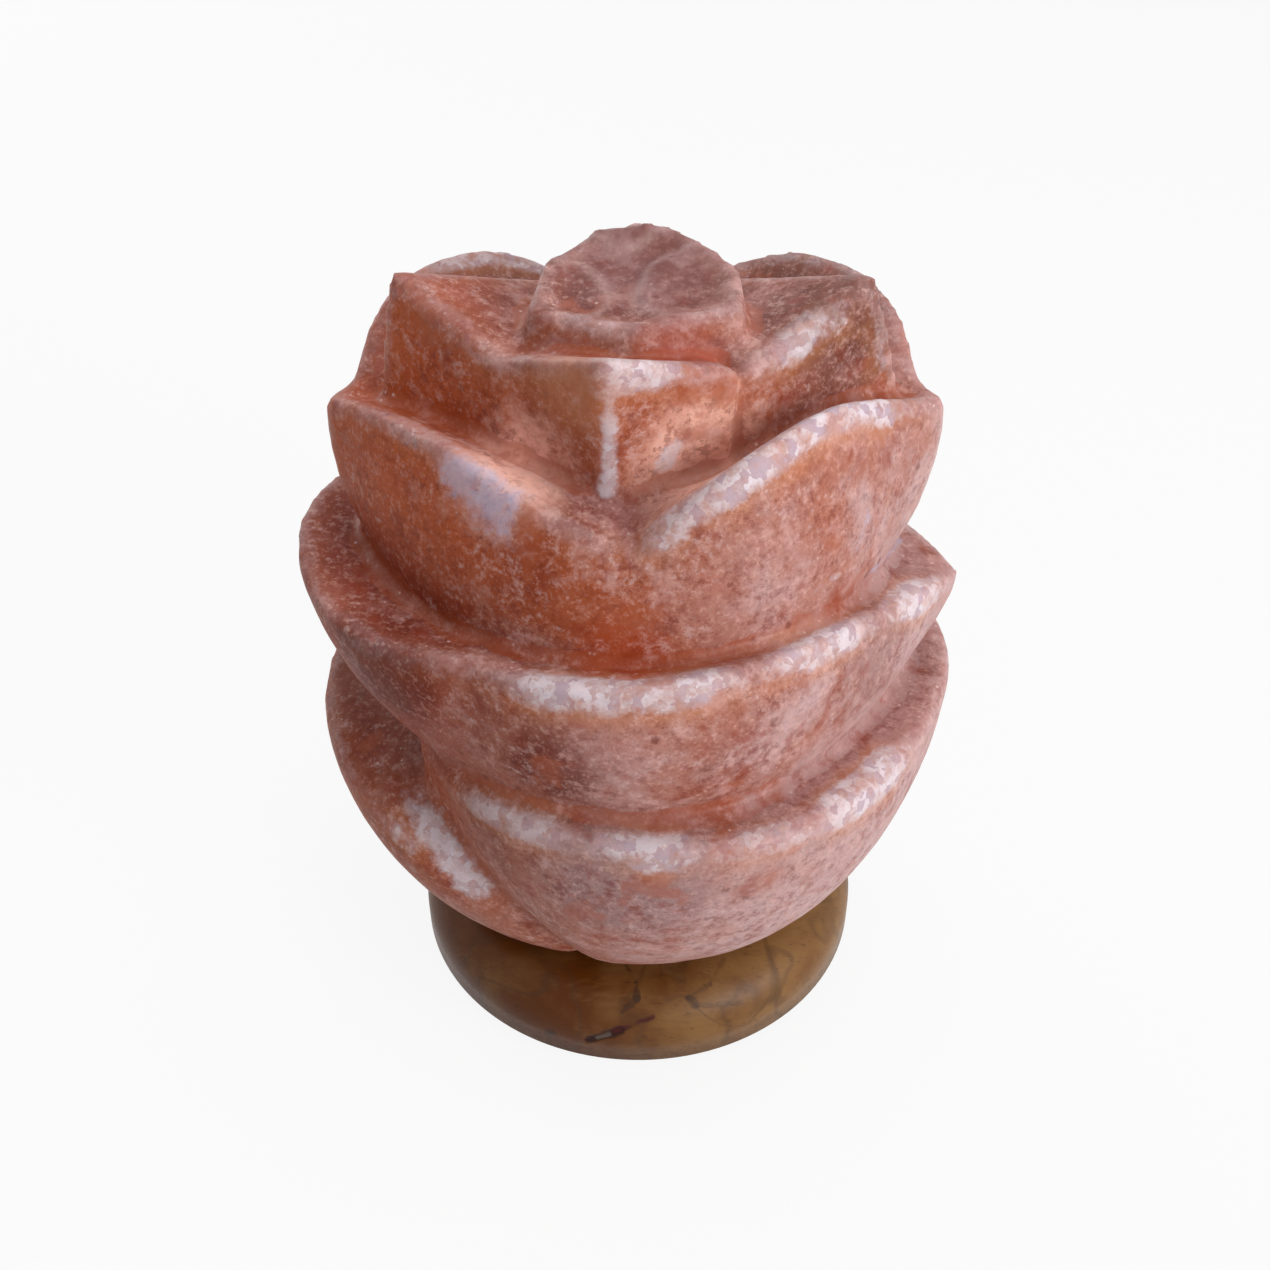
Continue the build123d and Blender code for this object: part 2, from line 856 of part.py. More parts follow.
with BuildPart() as filament:
    with BuildLine() as arch:
        ThreePointArc(
            (-filament_half, 0, filament_height + wire_radius),
            (0, 0, filament_height + wire_radius + filament_arch),
            (filament_half, 0, filament_height + wire_radius),
        )
    with BuildSketch(Plane(arch.line @ 0, z_dir=arch.line % 0)):
        Circle(filament_radius)
    sweep(path=arch)
filament.part.label = "filament"

support_offset = support_spacing / 2
with BuildPart() as support_wires:
    for side in (1, -1):
        with BuildLine() as prop:
            FilletPolyline(
                (0, side * support_offset, stem_top),
                (0, side * support_offset, stem_top + support_straight),
                (0, side * filament_radius * 2, filament_height + filament_arch),
                radius=2.0,
            )
        with BuildSketch(Plane(origin=(0, side * support_offset, stem_top))):
            Circle(support_radius)
        sweep(path=prop)
support_wires.part.label = "support_wires"

# ---------------------------------------------------------------- files

pieces = [
    salt_rose.part,
    wooden_base.part,
    rubber_feet.part,
    base_screws.part,
    salt_plugs.part,
    holder_cap.part,
    holder_shell.part,
    shell_lid.part,
    terminal_block.part,
    screw_sleeve.part,
    terminal_plates.part,
    terminal_screws.part,
    contact_tongue.part,
    clip_band.part,
    clip_rivets.part,
    *wings.values(),
    bulb_cap.part,
    bulb_insulator.part,
    bulb_contact.part,
    bulb_glass.part,
    bulb_stem.part,
    lead_wires.part,
    filament.part,
    support_wires.part,
]
os.makedirs("parts", exist_ok=True)
for piece in pieces:
    export_step(piece, f"parts/{piece.label}.step")
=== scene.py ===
# %% [markdown]
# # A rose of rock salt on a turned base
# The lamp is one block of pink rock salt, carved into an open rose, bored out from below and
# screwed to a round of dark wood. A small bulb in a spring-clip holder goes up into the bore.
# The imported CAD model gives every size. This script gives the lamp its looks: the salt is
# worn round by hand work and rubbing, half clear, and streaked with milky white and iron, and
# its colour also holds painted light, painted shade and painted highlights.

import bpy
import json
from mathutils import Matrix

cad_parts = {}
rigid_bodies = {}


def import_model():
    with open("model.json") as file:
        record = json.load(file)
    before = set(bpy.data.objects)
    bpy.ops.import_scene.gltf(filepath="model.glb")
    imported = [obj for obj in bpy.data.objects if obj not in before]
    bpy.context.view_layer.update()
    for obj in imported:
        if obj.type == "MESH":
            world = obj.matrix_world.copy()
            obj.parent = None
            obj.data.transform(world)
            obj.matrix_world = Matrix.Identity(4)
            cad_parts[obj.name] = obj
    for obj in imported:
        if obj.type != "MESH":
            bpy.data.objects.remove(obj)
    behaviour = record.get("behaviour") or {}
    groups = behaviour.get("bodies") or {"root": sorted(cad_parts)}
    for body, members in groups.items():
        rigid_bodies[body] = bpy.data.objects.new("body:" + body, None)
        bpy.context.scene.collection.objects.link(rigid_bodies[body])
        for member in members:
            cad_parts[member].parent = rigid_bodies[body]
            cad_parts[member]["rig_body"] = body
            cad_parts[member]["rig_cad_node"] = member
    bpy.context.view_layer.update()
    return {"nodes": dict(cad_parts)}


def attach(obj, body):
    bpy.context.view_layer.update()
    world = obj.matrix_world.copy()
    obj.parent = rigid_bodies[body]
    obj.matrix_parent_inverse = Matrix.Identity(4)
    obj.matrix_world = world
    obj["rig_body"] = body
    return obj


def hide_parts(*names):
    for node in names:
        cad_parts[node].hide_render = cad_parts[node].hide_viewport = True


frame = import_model()

import json
from math import cos, radians, sin, tau

import bpy
import numpy as np
from mathutils import Vector

mm = 0.001
merge_within = 0.002 * mm
scene = bpy.context.scene

# %% [markdown]
# ## Small hand tools
# Operators work on whatever is selected, and a fresh frame comes with everything selected.
# So each step starts by selecting one piece only. A modifier is applied at once, so that the
# finished mesh is what is measured.

# %% Selecting, copying and applying
def pick(piece):
    """Select one piece and make it active."""
    if bpy.context.object and bpy.context.object.mode != "OBJECT":
        bpy.ops.object.mode_set(mode="OBJECT")
    bpy.ops.object.select_all(action="DESELECT")
    piece.select_set(True)
    bpy.context.view_layer.objects.active = piece


def edit(piece):
    """Open one piece in edit mode, with all of it selected."""
    pick(piece)
    bpy.ops.object.mode_set(mode="EDIT")
    bpy.ops.mesh.select_all(action="SELECT")


def copy_of_node(node, name):
    """A copy of a CAD node with its own mesh, its loose triangles merged."""
    piece = frame["nodes"][node].copy()
    piece.data = piece.data.copy()
    piece.parent = None
    piece.name = name
    piece.data.materials.clear()
    scene.collection.objects.link(piece)
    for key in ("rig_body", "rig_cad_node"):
        if key in piece:
            del piece[key]
    edit(piece)
    bpy.ops.mesh.remove_doubles(threshold=merge_within)
    bpy.ops.object.mode_set(mode="OBJECT")
    return piece


def apply_modifier(piece, kind, **settings):
    """Add one modifier, set it and apply it."""
    modifier = piece.modifiers.new(kind.lower(), kind)
    for key, value in settings.items():
        setattr(modifier, key, value)
    pick(piece)
    bpy.ops.object.modifier_apply(modifier=modifier.name)


def points(piece):
    """The corners of a mesh as an array, one row each."""
    flat = np.empty(len(piece.data.vertices) * 3)
    piece.data.vertices.foreach_get("co", flat)
    return flat.reshape(-1, 3)


def move_points(piece, places):
    """Put every corner of a mesh at its new place."""
    piece.data.vertices.foreach_set("co", places.ravel())
    piece.data.update()


def directions(piece):
    """The outward direction at each corner."""
    flat = np.empty(len(piece.data.vertices) * 3)
    piece.data.vertex_normals.foreach_get("vector", flat)
    return flat.reshape(-1, 3)


# %% [markdown]
# ## Writing a finish
# A finish is a material made of nodes. The small class below wraps one output of a node, so
# that shader maths can be written as ordinary sums, and every other node comes from one
# method. Colours are given as they look on a screen and turned into light values once.

# %% A class for shader maths
class Value:
    """One output of a node, which adds Math nodes when it is used in a sum."""

    def __init__(self, finish, socket):
        self.finish, self.socket = finish, socket

    def sum(self, operation, first, second):
        return self.finish.node("ShaderNodeMath", {"operation": operation}, {0: first, 1: second})

    def __add__(self, other):
        return self.sum("ADD", self, other)

    def __sub__(self, other):
        return self.sum("SUBTRACT", self, other)

    def __rsub__(self, other):
        return self.sum("SUBTRACT", other, self)

    def __mul__(self, other):
        return self.sum("MULTIPLY", self, other)

    def __abs__(self):
        return self.sum("ABSOLUTE", self, 0.0)

    def up_to(self, most):
        return self.sum("MINIMUM", self, most)

    __radd__, __rmul__ = __add__, __mul__

# %% A class for a finish
class Finish:
    """A material that is built up node by node."""

    def __init__(self, name):
        self.material = bpy.data.materials.new(name)
        self.material.use_nodes = True
        self.nodes = self.material.node_tree.nodes
        self.links = self.material.node_tree.links
        self.nodes.clear()
        self.place = self.node("ShaderNodeTexCoord", out="Object")

    def node(self, kind, settings=None, inputs=None, out=0):
        """Add a node: its settings first, then its inputs, which are values or links."""
        node = self.nodes.new(kind)
        for key, value in (settings or {}).items():
            setattr(node, key, value)
        for key, value in (inputs or {}).items():
            if isinstance(value, Value):
                self.links.new(value.socket, node.inputs[key])
            else:
                node.inputs[key].default_value = value
        return Value(self, node.outputs[out])

    def step(self, value, low, high):
        """0 below low and 1 above high, with a soft rise between them."""
        inputs = {"Value": value, "From Min": low, "From Max": high}
        return self.node("ShaderNodeMapRange", {"interpolation_type": "SMOOTHSTEP"}, inputs)

    def blend(self, first, second, share):
        """One colour laid over another."""
        inputs = {0: share, 6: as_light(first), 7: as_light(second)}
        return self.node("ShaderNodeMix", {"data_type": "RGBA"}, inputs, out=2)

    def layered(self, ground, *layers):
        """A ground colour with others laid over it in turn, each with its share."""
        for colour, share in layers:
            ground = self.blend(ground, colour, share)
        return ground

    def cloud(self, size, detail=3.0, roughness=0.55, place=None, shift=None, out=0):
        """Soft noise whose lumps are about size across, in metres."""
        if shift:
            place = self.shifted(location=shift)
        inputs = {"Vector": place or self.place, "Scale": 1.0 / size}
        inputs |= {"Detail": detail, "Roughness": roughness}
        return self.node("ShaderNodeTexNoise", {}, inputs, out)

    def bent(self, size, reach, detail):
        """The place, pushed about by a noise whose lumps are about size across."""
        push = self.cloud(size, detail, roughness=0.5, out="Color")
        inputs = {0: push, 1: (reach, reach, reach), 2: self.place}
        return self.node("ShaderNodeVectorMath", {"operation": "MULTIPLY_ADD"}, inputs)

    def cells(self, size, place=None, out="Distance"):
        """Cells about size across, in metres."""
        inputs = {"Vector": place or self.place, "Scale": 1.0 / size}
        return self.node("ShaderNodeTexVoronoi", {}, inputs, out)

    def shifted(self, location=(0, 0, 0), rotation=(0, 0, 0), scale=(1, 1, 1), place=None):
        """The place moved, turned and scaled, for a noise that differs or is drawn out."""
        inputs = {"Vector": place or self.place, "Location": location}
        inputs |= {"Rotation": rotation, "Scale": scale}
        return self.node("ShaderNodeMapping", {}, inputs)

    def attribute(self, name):
        """A number that the mesh keeps at each corner."""
        return self.node("ShaderNodeAttribute", {"attribute_name": name}, out="Fac")

    def axis(self, name):
        """The place along X, Y or Z, in metres."""
        return self.node("ShaderNodeSeparateXYZ", {}, {"Vector": self.place}, out=name)

    def vector(self, operation, first, second, out="Vector"):
        inputs = {0: first, 1: second}
        return self.node("ShaderNodeVectorMath", {"operation": operation}, inputs, out)

    def within(self, away, reach):
        """1 where away, in metres, is small, and 0 from about the reach outwards."""
        full, gone = reach * mm * 0.35, reach * mm * 1.15
        return 1 - self.step(away, full, gone)

    def near(self, place, reach, wobble=0.0):
        """1 around a place, and 0 from about its reach outwards, both given in millimetres.

        A noise as the wobble, in metres, makes the edge uneven."""
        away = self.vector("DISTANCE", self.place, in_metres(place), out="Value")
        return self.within(away + wobble, reach)

    def line(self, start, end, reach, wobble=0.0):
        """1 along the line between two places, with reach and wobble as in near."""
        start, end = in_metres(start), in_metres(end)
        run = Vector(end) - Vector(start)
        per_run = tuple(run / run.length_squared)
        from_start = self.vector("SUBTRACT", self.place, start)
        share = self.vector("DOT_PRODUCT", from_start, per_run, out="Value")
        share = self.node("ShaderNodeClamp", {}, {"Value": share})
        inputs = {0: tuple(run), "Scale": share}
        nearest = self.node("ShaderNodeVectorMath", {"operation": "SCALE"}, inputs)
        away = self.vector("DISTANCE", from_start, nearest, out="Value")
        return self.within(away + wobble, reach)

    def bump(self, height, depth, under=None, strength=1.0):
        """Relief of a height map, depth deep in metres."""
        inputs = {"Height": height, "Distance": depth, "Strength": strength}
        if under:
            inputs["Normal"] = under
        return self.node("ShaderNodeBump", {}, inputs)

    def finish(self, **sockets):
        """Close the finish with a Principled shader and give back the material."""
        named = {key.replace("_", " "): value for key, value in sockets.items()}
        shader = self.node("ShaderNodeBsdfPrincipled", {}, named)
        self.node_out(shader)
        return self.material

    def tell(self, part):
        """Print what was just drawn, and how many nodes there are now."""
        print(self.material.name, "with", part, "has", len(self.nodes), "nodes")

    def node_out(self, shader):
        """Lead a shader to the material's output."""
        output = self.nodes.new("ShaderNodeOutputMaterial")
        self.links.new(shader.socket, output.inputs["Surface"])

# %% Lengths and colours as the nodes take them
def in_metres(place):
    """A place that is given in millimetres."""
    return tuple(number * mm for number in place)


def as_light(colour):
    """A colour as it looks on a screen, 0 to 255, as light values. A node's stays as it is."""
    if isinstance(colour, Value):
        return colour
    light = []
    for part in colour:
        part = part / 255
        light.append(part / 12.92 if part <= 0.04045 else ((part + 0.055) / 1.055) ** 2.4)
    return (*light, 1.0)


# %% [markdown]
# ## The salt
# The carver cuts each petal with a disc and a rasp, and then rubs the block smooth, so the
# edges of the real petals are round ridges a few millimetres across. The CAD petals have
# sharp rims. The copy is given an even skin of small quads, and that skin is relaxed until
# the rims are as round as the real ones. The bore and the seat stay as they are, because
# the holder and the base fit them.

# %% Give the rose an even skin
fine_skin = 0.7 * mm
skin_size = 1.1 * mm
rose = copy_of_node("salt_rose", "salt_rose_worn")
apply_modifier(rose, "REMESH", mode="VOXEL", voxel_size=fine_skin, adaptivity=0.0)
print("the fine skin has", len(rose.data.vertices), "corners")

# %% Tell the worn outside from the bore and the seat
seat_height = 20.0 * mm
seat_fade = 2.5 * mm
bore_radius = 20.0 * mm
bore_ceiling = 118.0 * mm
wall_kept = 12 * mm
ceiling_kept = 4 * mm
bore_fade = 4 * mm


def worn_share(places):
    """1 on the carved outside, 0 round the bore and on the seat."""
    reach = np.hypot(places[:, 0], places[:, 1])
    above_seat = np.clip((places[:, 2] - seat_height) / seat_fade, 0, 1)
    outside = np.clip((reach - bore_radius - wall_kept) / bore_fade, 0, 1)
    over = np.clip((places[:, 2] - bore_ceiling - ceiling_kept) / bore_fade, 0, 1)
    return above_seat * np.maximum(outside, over)

# %% Average over neighbours
def neighbours(piece):
    """The two ends of every edge, and how many edges meet at each corner."""
    ends = np.empty(len(piece.data.edges) * 2, dtype=np.int64)
    piece.data.edges.foreach_get("vertices", ends)
    ends = ends.reshape(-1, 2)
    return ends, np.bincount(ends.ravel(), minlength=len(piece.data.vertices))


def averaged(values, ends, count, rounds):
    """Each value replaced again and again by the mean of its neighbours'."""
    values = values.copy()
    first, second = ends[:, 0], ends[:, 1]
    for _ in range(rounds):
        if values.ndim == 1:
            total = np.bincount(first, values[second], len(count))
            total += np.bincount(second, values[first], len(count))
            values = (values + total) / (count + 1)
        else:
            values = np.column_stack([averaged(column, ends, count, 1) for column in values.T])
    return values

# %% Wear the rims round
wear_rounds = 18
size_kept = 0.9
ends, count = neighbours(rose)
places = points(rose)
worn = worn_share(places)[:, None]
relaxed = places
for _ in range(2):
    soft = averaged(relaxed, ends, count, wear_rounds)
    relaxed = soft + averaged(relaxed - soft, ends, count, wear_rounds) * size_kept

# The keel of the front petal is rounder than the other edges.
keel_middle = np.array((-0.005, -0.030, 0.147))
keel_reach = 13 * mm
keel_rounds = 24
from_keel = np.linalg.norm(places - keel_middle, axis=1) / keel_reach
softer = np.clip(1.4 - from_keel, 0, 1)[:, None]
relaxed = relaxed + (averaged(relaxed, ends, count, keel_rounds) - relaxed) * softer
move_points(rose, places + (relaxed - places) * worn)
print("the rims moved in by up to", round(np.abs(relaxed - places).max() * 1000, 2), "mm")

# %% [markdown]
# ## The folds of the bud
# The carver doesn't hollow the heart out. Its cup is filled with folded leaves that lie over
# each other like a closed bud, and only shallow cuts part them. So the floor of the cup is
# lifted to a leaning surface a little under its edge, and each of three leaves is a round
# patch that stands one or two millimetres proud of it.

# %% Fill and fold the bud
def soft_step(value, low, high):
    """0 below low and 1 above high, with a soft rise between them."""
    share = np.clip((value - low) / (high - low), 0, 1)
    return share * share * (3 - 2 * share)


def from_leaf(places, middle_x, middle_y):
    """How far each corner lies from the middle of a leaf, whose edge wanders a little."""
    away = np.hypot(places[:, 0] / mm - middle_x, places[:, 1] / mm - middle_y)
    return away + np.sin(places[:, 0] / (2.6 * mm)) * 0.7 + np.cos(places[:, 1] / (1.7 * mm)) * 0.4


bud_floor_height = 158.6 * mm
bud_lean = 0.29
bud_fill_radius = 16.5 * mm
bud_bottom = 150 * mm
fold_half_width = 0.9
leaf_fall = 0.6
leaf_fall_width = 7
leaves = (
    ((-1, 21), 12.0, 1.7),
    ((10, -2), 10.0, 1.2),
    ((-17, -4), 11.0, 0.9),
)


def in_bud(places):
    """True for the corners in the cup of the bud."""
    reach = np.hypot(places[:, 0], places[:, 1])
    return (reach < bud_fill_radius) & (places[:, 2] > bud_bottom)


places = points(rose)
floor_height = bud_floor_height + places[:, 1] * bud_lean
for (middle_x, middle_y), radius, rise in leaves:
    away = from_leaf(places, middle_x, middle_y)
    on_leaf = 1 - soft_step(away, radius - fold_half_width, radius + fold_half_width)
    dip = 1 - leaf_fall * soft_step(radius - away, 0, leaf_fall_width)
    floor_height += on_leaf * dip * rise * mm
inside = in_bud(places)
lifted = np.where(inside, np.maximum(places[:, 2], floor_height), places[:, 2])
print("the bud's floor is lifted by up to", round((lifted - places[:, 2]).max() / mm, 1), "mm")
places[:, 2] = lifted
places[inside] = averaged(places, ends, count, rounds=4)[inside]
move_points(rose, places)

# %% Change to a coarser skin, now that nothing on it is sharp
apply_modifier(rose, "REMESH", mode="VOXEL", voxel_size=skin_size, adaptivity=0.0)
ends, count = neighbours(rose)
print("the rose has", len(rose.data.vertices), "corners")

# %% [markdown]
# ## Where the rims and the hollows are
# The milky edges with their painted highlights, the rusty walls, the painted shade in the
# hollows and the painted sky reflection on the mauve ledges all follow the shape. So the shape
# is measured once. How far a corner stands out from the mean of the skin around it tells a rim
# from a hollow. The way along the skin to the nearest rim tells how far down a wall or in on
# a ledge a corner lies, and the relaxed direction tells the wall from the ledge. The measures
# go into the mesh as attributes that the finish reads.

# %% Measure the shape
def store(piece, name, values):
    """Write one number per corner into the mesh."""
    attribute = piece.data.attributes.new(name, "FLOAT", "POINT")
    attribute.data.foreach_set("value", values.astype(np.float32))


def way_from(marked, ends, lengths, rounds):
    """The way along the skin from each corner to the nearest marked one."""
    way = np.where(marked, 0.0, np.inf)
    for _ in range(rounds):
        np.minimum.at(way, ends[:, 0], way[ends[:, 1]] + lengths)
        np.minimum.at(way, ends[:, 1], way[ends[:, 0]] + lengths)
    return way


places = points(rose)
outward = directions(rose)
around = averaged(places, ends, count, rounds=14)
stand_out = averaged(((places - around) * outward).sum(1) / mm, ends, count, rounds=2)
lengths = np.linalg.norm(places[ends[:, 0]] - places[ends[:, 1]], axis=1) / mm
rim_line = 0.42
longest_way = 26
rim_way = way_from(stand_out > rim_line, ends, lengths, longest_way)
rim_way = averaged(np.minimum(rim_way, longest_way), ends, count, rounds=3)
broad_outward = averaged(outward, ends, count, rounds=10)
broad_outward /= np.linalg.norm(broad_outward, axis=1)[:, None]
store(rose, "stand_out", stand_out)
store(rose, "rim_way", rim_way)
store(rose, "facing_up", broad_outward[:, 2])
fold_edge = np.zeros(len(places))
edge_width = 0.7
for (middle_x, middle_y), radius, _ in leaves:
    away = from_leaf(places, middle_x, middle_y)
    fold_edge = np.maximum(fold_edge, np.exp(-(((away - radius) / edge_width) ** 2)))
store(rose, "fold_edge", fold_edge * in_bud(places))
print("stand-out runs from", stand_out.min().round(2), "to", stand_out.max().round(2), "mm")
print("on a rim:", round(float((stand_out > rim_line).mean()) * 100), "% of the skin")

# %% [markdown]
# ## Hand work in the surface
# No carved face is flat: the rasp leaves shallow waves, and the crystals break out in small
# chips along the rims. Two noise textures push the skin in and out by fractions of a
# millimetre, and only on the carved outside.

# %% Ripple and chip the surface
weight_steps = 20
sharp_rim = 1.2


def texture(kind, size, **settings):
    """A noise texture for a Displace modifier."""
    made = bpy.data.textures.new(kind.lower(), kind)
    made.noise_scale = size
    for key, value in settings.items():
        setattr(made, key, value)
    return made


def weight_group(piece, name, weights):
    """A vertex group that holds one weight per corner, in even steps."""
    group = piece.vertex_groups.new(name=name)
    steps = np.round(weights * weight_steps).astype(int)
    for step in range(1, weight_steps + 1):
        group.add(np.flatnonzero(steps == step).tolist(), step / weight_steps, "REPLACE")
    return group.name


worn = worn_share(places)
carved = weight_group(rose, "carved", worn)
chipped = weight_group(rose, "chipped", worn * np.clip(stand_out / sharp_rim, 0, 1))
for group, made, depth, middle in (
    (carved, texture("CLOUDS", 9 * mm, noise_depth=2), 0.3 * mm, 0.55),
    (chipped, texture("VORONOI", 3.2 * mm, distance_metric="DISTANCE"), -0.35 * mm, 0.15),
):
    push = {"texture": made, "vertex_group": group, "strength": depth, "mid_level": middle}
    apply_modifier(rose, "DISPLACE", texture_coords="LOCAL", **push)
rose.vertex_groups.clear()
print("the rose's box is", [round(side * 1000, 1) for side in rose.dimensions])

# %% [markdown]
# ## The finish of the salt
# Rock salt is half clear. Iron oxide gives the walls their rusty orange. The left side is
# painted darker and more saturated, as painted shade, and the right side paler, as painted
# light. The mauve on the ledges is a painted sky reflection, and the hollows are darkened as
# painted shade. Bruised crystals along the rims turn milky white, and these bands with their
# blue cast are also painted highlights. Under each milky band the clear salt shows as a warm
# ochre edge. All of it is broken up by grains of about a millimetre. The finish starts with
# the walls and ledges, then come clouds of colour and the grains, and last the milky rims and
# single marks.

# %% The noises that break up the salt
salt = Finish("rock salt")
stand = salt.attribute("stand_out")
up = salt.attribute("facing_up")
rim = salt.attribute("rim_way")
drift = salt.cloud(46 * mm, detail=3)
patch = salt.cloud(17 * mm, detail=5, shift=(3, 1, 7))
mottle = salt.cloud(5.0 * mm, detail=6, roughness=0.65)
fleck = salt.cloud(1.6 * mm, detail=5, roughness=0.7)
grit = salt.cloud(0.7 * mm, detail=3, roughness=0.6, shift=(5, 2, 1))
streak = salt.cloud(
    2.0 * mm,
    detail=4,
    roughness=0.6,
    place=salt.shifted(rotation=(0.2, 0.3, 0.0), scale=(0.5, 0.5, 1.6)),
)
salt.tell("its noises")

# %% The colours of the salt
# The deepest rust is partly the block's own colour and partly painted shade on the left side.
deep_rust_and_shade = (112, 38, 16)
rust = (160, 80, 48)
rose_brown = (160, 102, 86)
pale_rose = (180, 146, 144)
mauve = (158, 112, 108)
dusk = (114, 62, 54)
blush = (222, 176, 164)
ochre = (206, 140, 96)
# The milky whites and the pale blue-violet tone are partly crystal colour and partly painted
# highlight with a painted sky reflection.
milky_highlight = (216, 212, 222)
warm_milky_highlight = (182, 160, 160)
lilac_highlight = (172, 168, 194)
blood = (84, 22, 14)

# %% Walls and ledges
side = salt.axis("X")
height = salt.axis("Z")
# The left side is darker and more saturated: painted shade on the side away from the window light.
left = 1 - salt.step(side, -0.045, -0.012)
# The walls turn paler to the right as painted light from the window side, and paler towards the
# bottom. Noise breaks this up.
pale = side * 15.0 + (0.112 - height).up_to(0.04) * 10.0
pale = pale + (patch - 0.5) * 2.0 + (drift - 0.5) * 1.2 + (mottle - 0.5) * 1.1
wall = salt.layered(
    rust,
    (rose_brown, salt.step(pale, -0.55, 0.2)),
    (pale_rose, salt.step(pale, 0.15, 1.0)),
    (deep_rust_and_shade, (1 - salt.step(pale, -1.1, -0.2)) * 0.75),
)
# The mauve on the up-facing ledges is a painted sky reflection. It turns to a darker dusk towards
# the left as painted shade.
ledge_sky_reflection = salt.blend(dusk, mauve, salt.step(mottle + (patch - 0.5) + side * 3.0, 0.36, 0.66))
is_ledge = salt.step(up + (patch - 0.5) * 0.7 + (mottle - 0.5) * 0.7, 0.22, 0.8)
# Darker in the hollows: painted shade.
hollow = salt.step(0 - stand, 0.1, 0.8)
# A painted glow on the left walls, saturated orange and darker lower down: painted light and
# shade.
painted_glow_on_left = salt.blend((134, 44, 20), (196, 92, 46), salt.step(height, 0.108, 0.126))
painted_glow_on_left_share = left * (0.62 - is_ledge * 0.35) * salt.step(height, 0.062, 0.085)
body = salt.layered(
    wall,
    # Less of the painted sky reflection on the left side, which keeps its painted shade.
    (ledge_sky_reflection, is_ledge * (0.9 - left * 0.35)),
    # Painted shade in the hollows, in a dark brown.
    ((120, 48, 26), hollow * 0.5),
    (painted_glow_on_left, painted_glow_on_left_share),
)
salt.tell("walls and ledges")

# %% Clouds of colour at given places, some of them painted light and shade
# The pale clouds at (-22, -24, 135) and (11, -24, 136), in the V of the front petal, are painted
# light. The dark ones at (-47, -35, 99) on the left wall and at (-14, -51, 90) in the recess at
# the front left are painted shade. The others are darker or paler tones at given places.
clouds = (
    ((-22, -24, 135), 13, (238, 186, 170), 0.85),
    ((11, -24, 136), 15, (238, 186, 168), 0.85),
    ((37, -5, 154), 19, (92, 42, 30), 0.9),
    ((-14, -51, 90), 13, (92, 28, 14), 0.8),
    ((16, -50, 90), 12, (134, 72, 60), 0.4),
    ((45, -29, 96), 15, (134, 92, 86), 0.6),
    ((-47, -35, 99), 17, (96, 26, 6), 0.8),
    ((-3, -43, 107.5), 10, (158, 60, 28), 0.7),
    ((-4, -56, 96), 12, (176, 128, 122), 0.45),
    ((21, -39, 118), 16, (176, 128, 120), 0.35),
    ((-3, -58, 66), 20, (144, 118, 120), 0.7),
    ((26, -52, 62), 18, (176, 144, 142), 0.4),
    ((-30, -46, 66), 10, (122, 60, 44), 0.5),
    ((0, 6, 160), 22, (88, 54, 54), 0.66),
    ((-32, 33, 147), 20, (108, 72, 68), 0.55),
    ((36, 31, 148), 23, (84, 50, 46), 0.68),
)
for place, reach, colour, strength in clouds:
    sway = reach * mm
    wobble = (mottle - 0.5) * sway * 0.9 + (patch - 0.5) * sway * 0.9
    body = salt.blend(body, colour, salt.near(place, reach, wobble) * strength)
salt.tell("its clouds of colour")

# %% Clear pools without grain, and the grains between them
pool = salt.step((1 - patch) + hollow * 0.35 + (mottle - 0.5) * 0.3, 0.6, 0.66)
# The pools are paler to the right too, with the same painted light.
pool_tone = salt.blend((158, 76, 44), pale_rose, salt.step(pale, 0.2, 0.9))
grainy = 1 - pool * 0.6
fine = fleck * 0.6 + grit * 0.4
light_grain = salt.step(fine, 0.49, 0.66)
dark_grain = salt.step((1 - fine) + (streak - 0.5) * 0.5, 0.5, 0.7)
crumb = salt.cloud(2.4 * mm, detail=8, roughness=0.72, shift=(7, 2, 6))
loose = salt.cloud(13 * mm, detail=3, shift=(4, 6, 9))
crumbly = (0.3 + salt.step(loose, 0.42, 0.58) * 0.7) * (1 - pool)
body = salt.layered(
    body,
    (pool_tone, pool * 0.5),
    (blood, dark_grain * grainy * 0.36),
    (blush, light_grain * grainy * 0.34),
    ((112, 42, 34), salt.step(crumb, 0.52, 0.59) * crumbly * 0.5),
    ((206, 172, 168), salt.step(1 - crumb, 0.54, 0.62) * crumbly * 0.4),
)
salt.tell("pools and grains")

# %% Dots and specks, faded and stained places
dots = salt.cells(5.5 * mm, place=salt.shifted(location=(1, 4, 2)))
dot_tone = 1 - salt.step(dots + (fleck - 0.5) * 0.3, 0.06, 0.2)
specks = 1 - salt.step(salt.cells(2.3 * mm, place=salt.shifted(location=(3, 3, 3))), 0.05, 0.2)
faded = salt.cloud(7 * mm, detail=6, roughness=0.65, shift=(8, 8, 2))
is_faded = salt.step(faded + (fleck - 0.5) * 0.3, 0.52, 0.7)
stained = salt.cloud(6 * mm, detail=6, roughness=0.65, shift=(2, 9, 5))
body = salt.layered(
    body,
    (blood, dot_tone * salt.step(drift, 0.45, 0.6) * 0.5),
    ((226, 200, 196), specks * salt.step(mottle, 0.5, 0.62) * (0.25 + is_ledge * 0.45)),
    # Less fading on the left side, which keeps its painted shade.
    ((200, 156, 150), is_faded * (0.5 - left * 0.35)),
    ((132, 50, 26), salt.step(stained, 0.52, 0.68) * 0.5),
)
salt.tell("dots and stains")

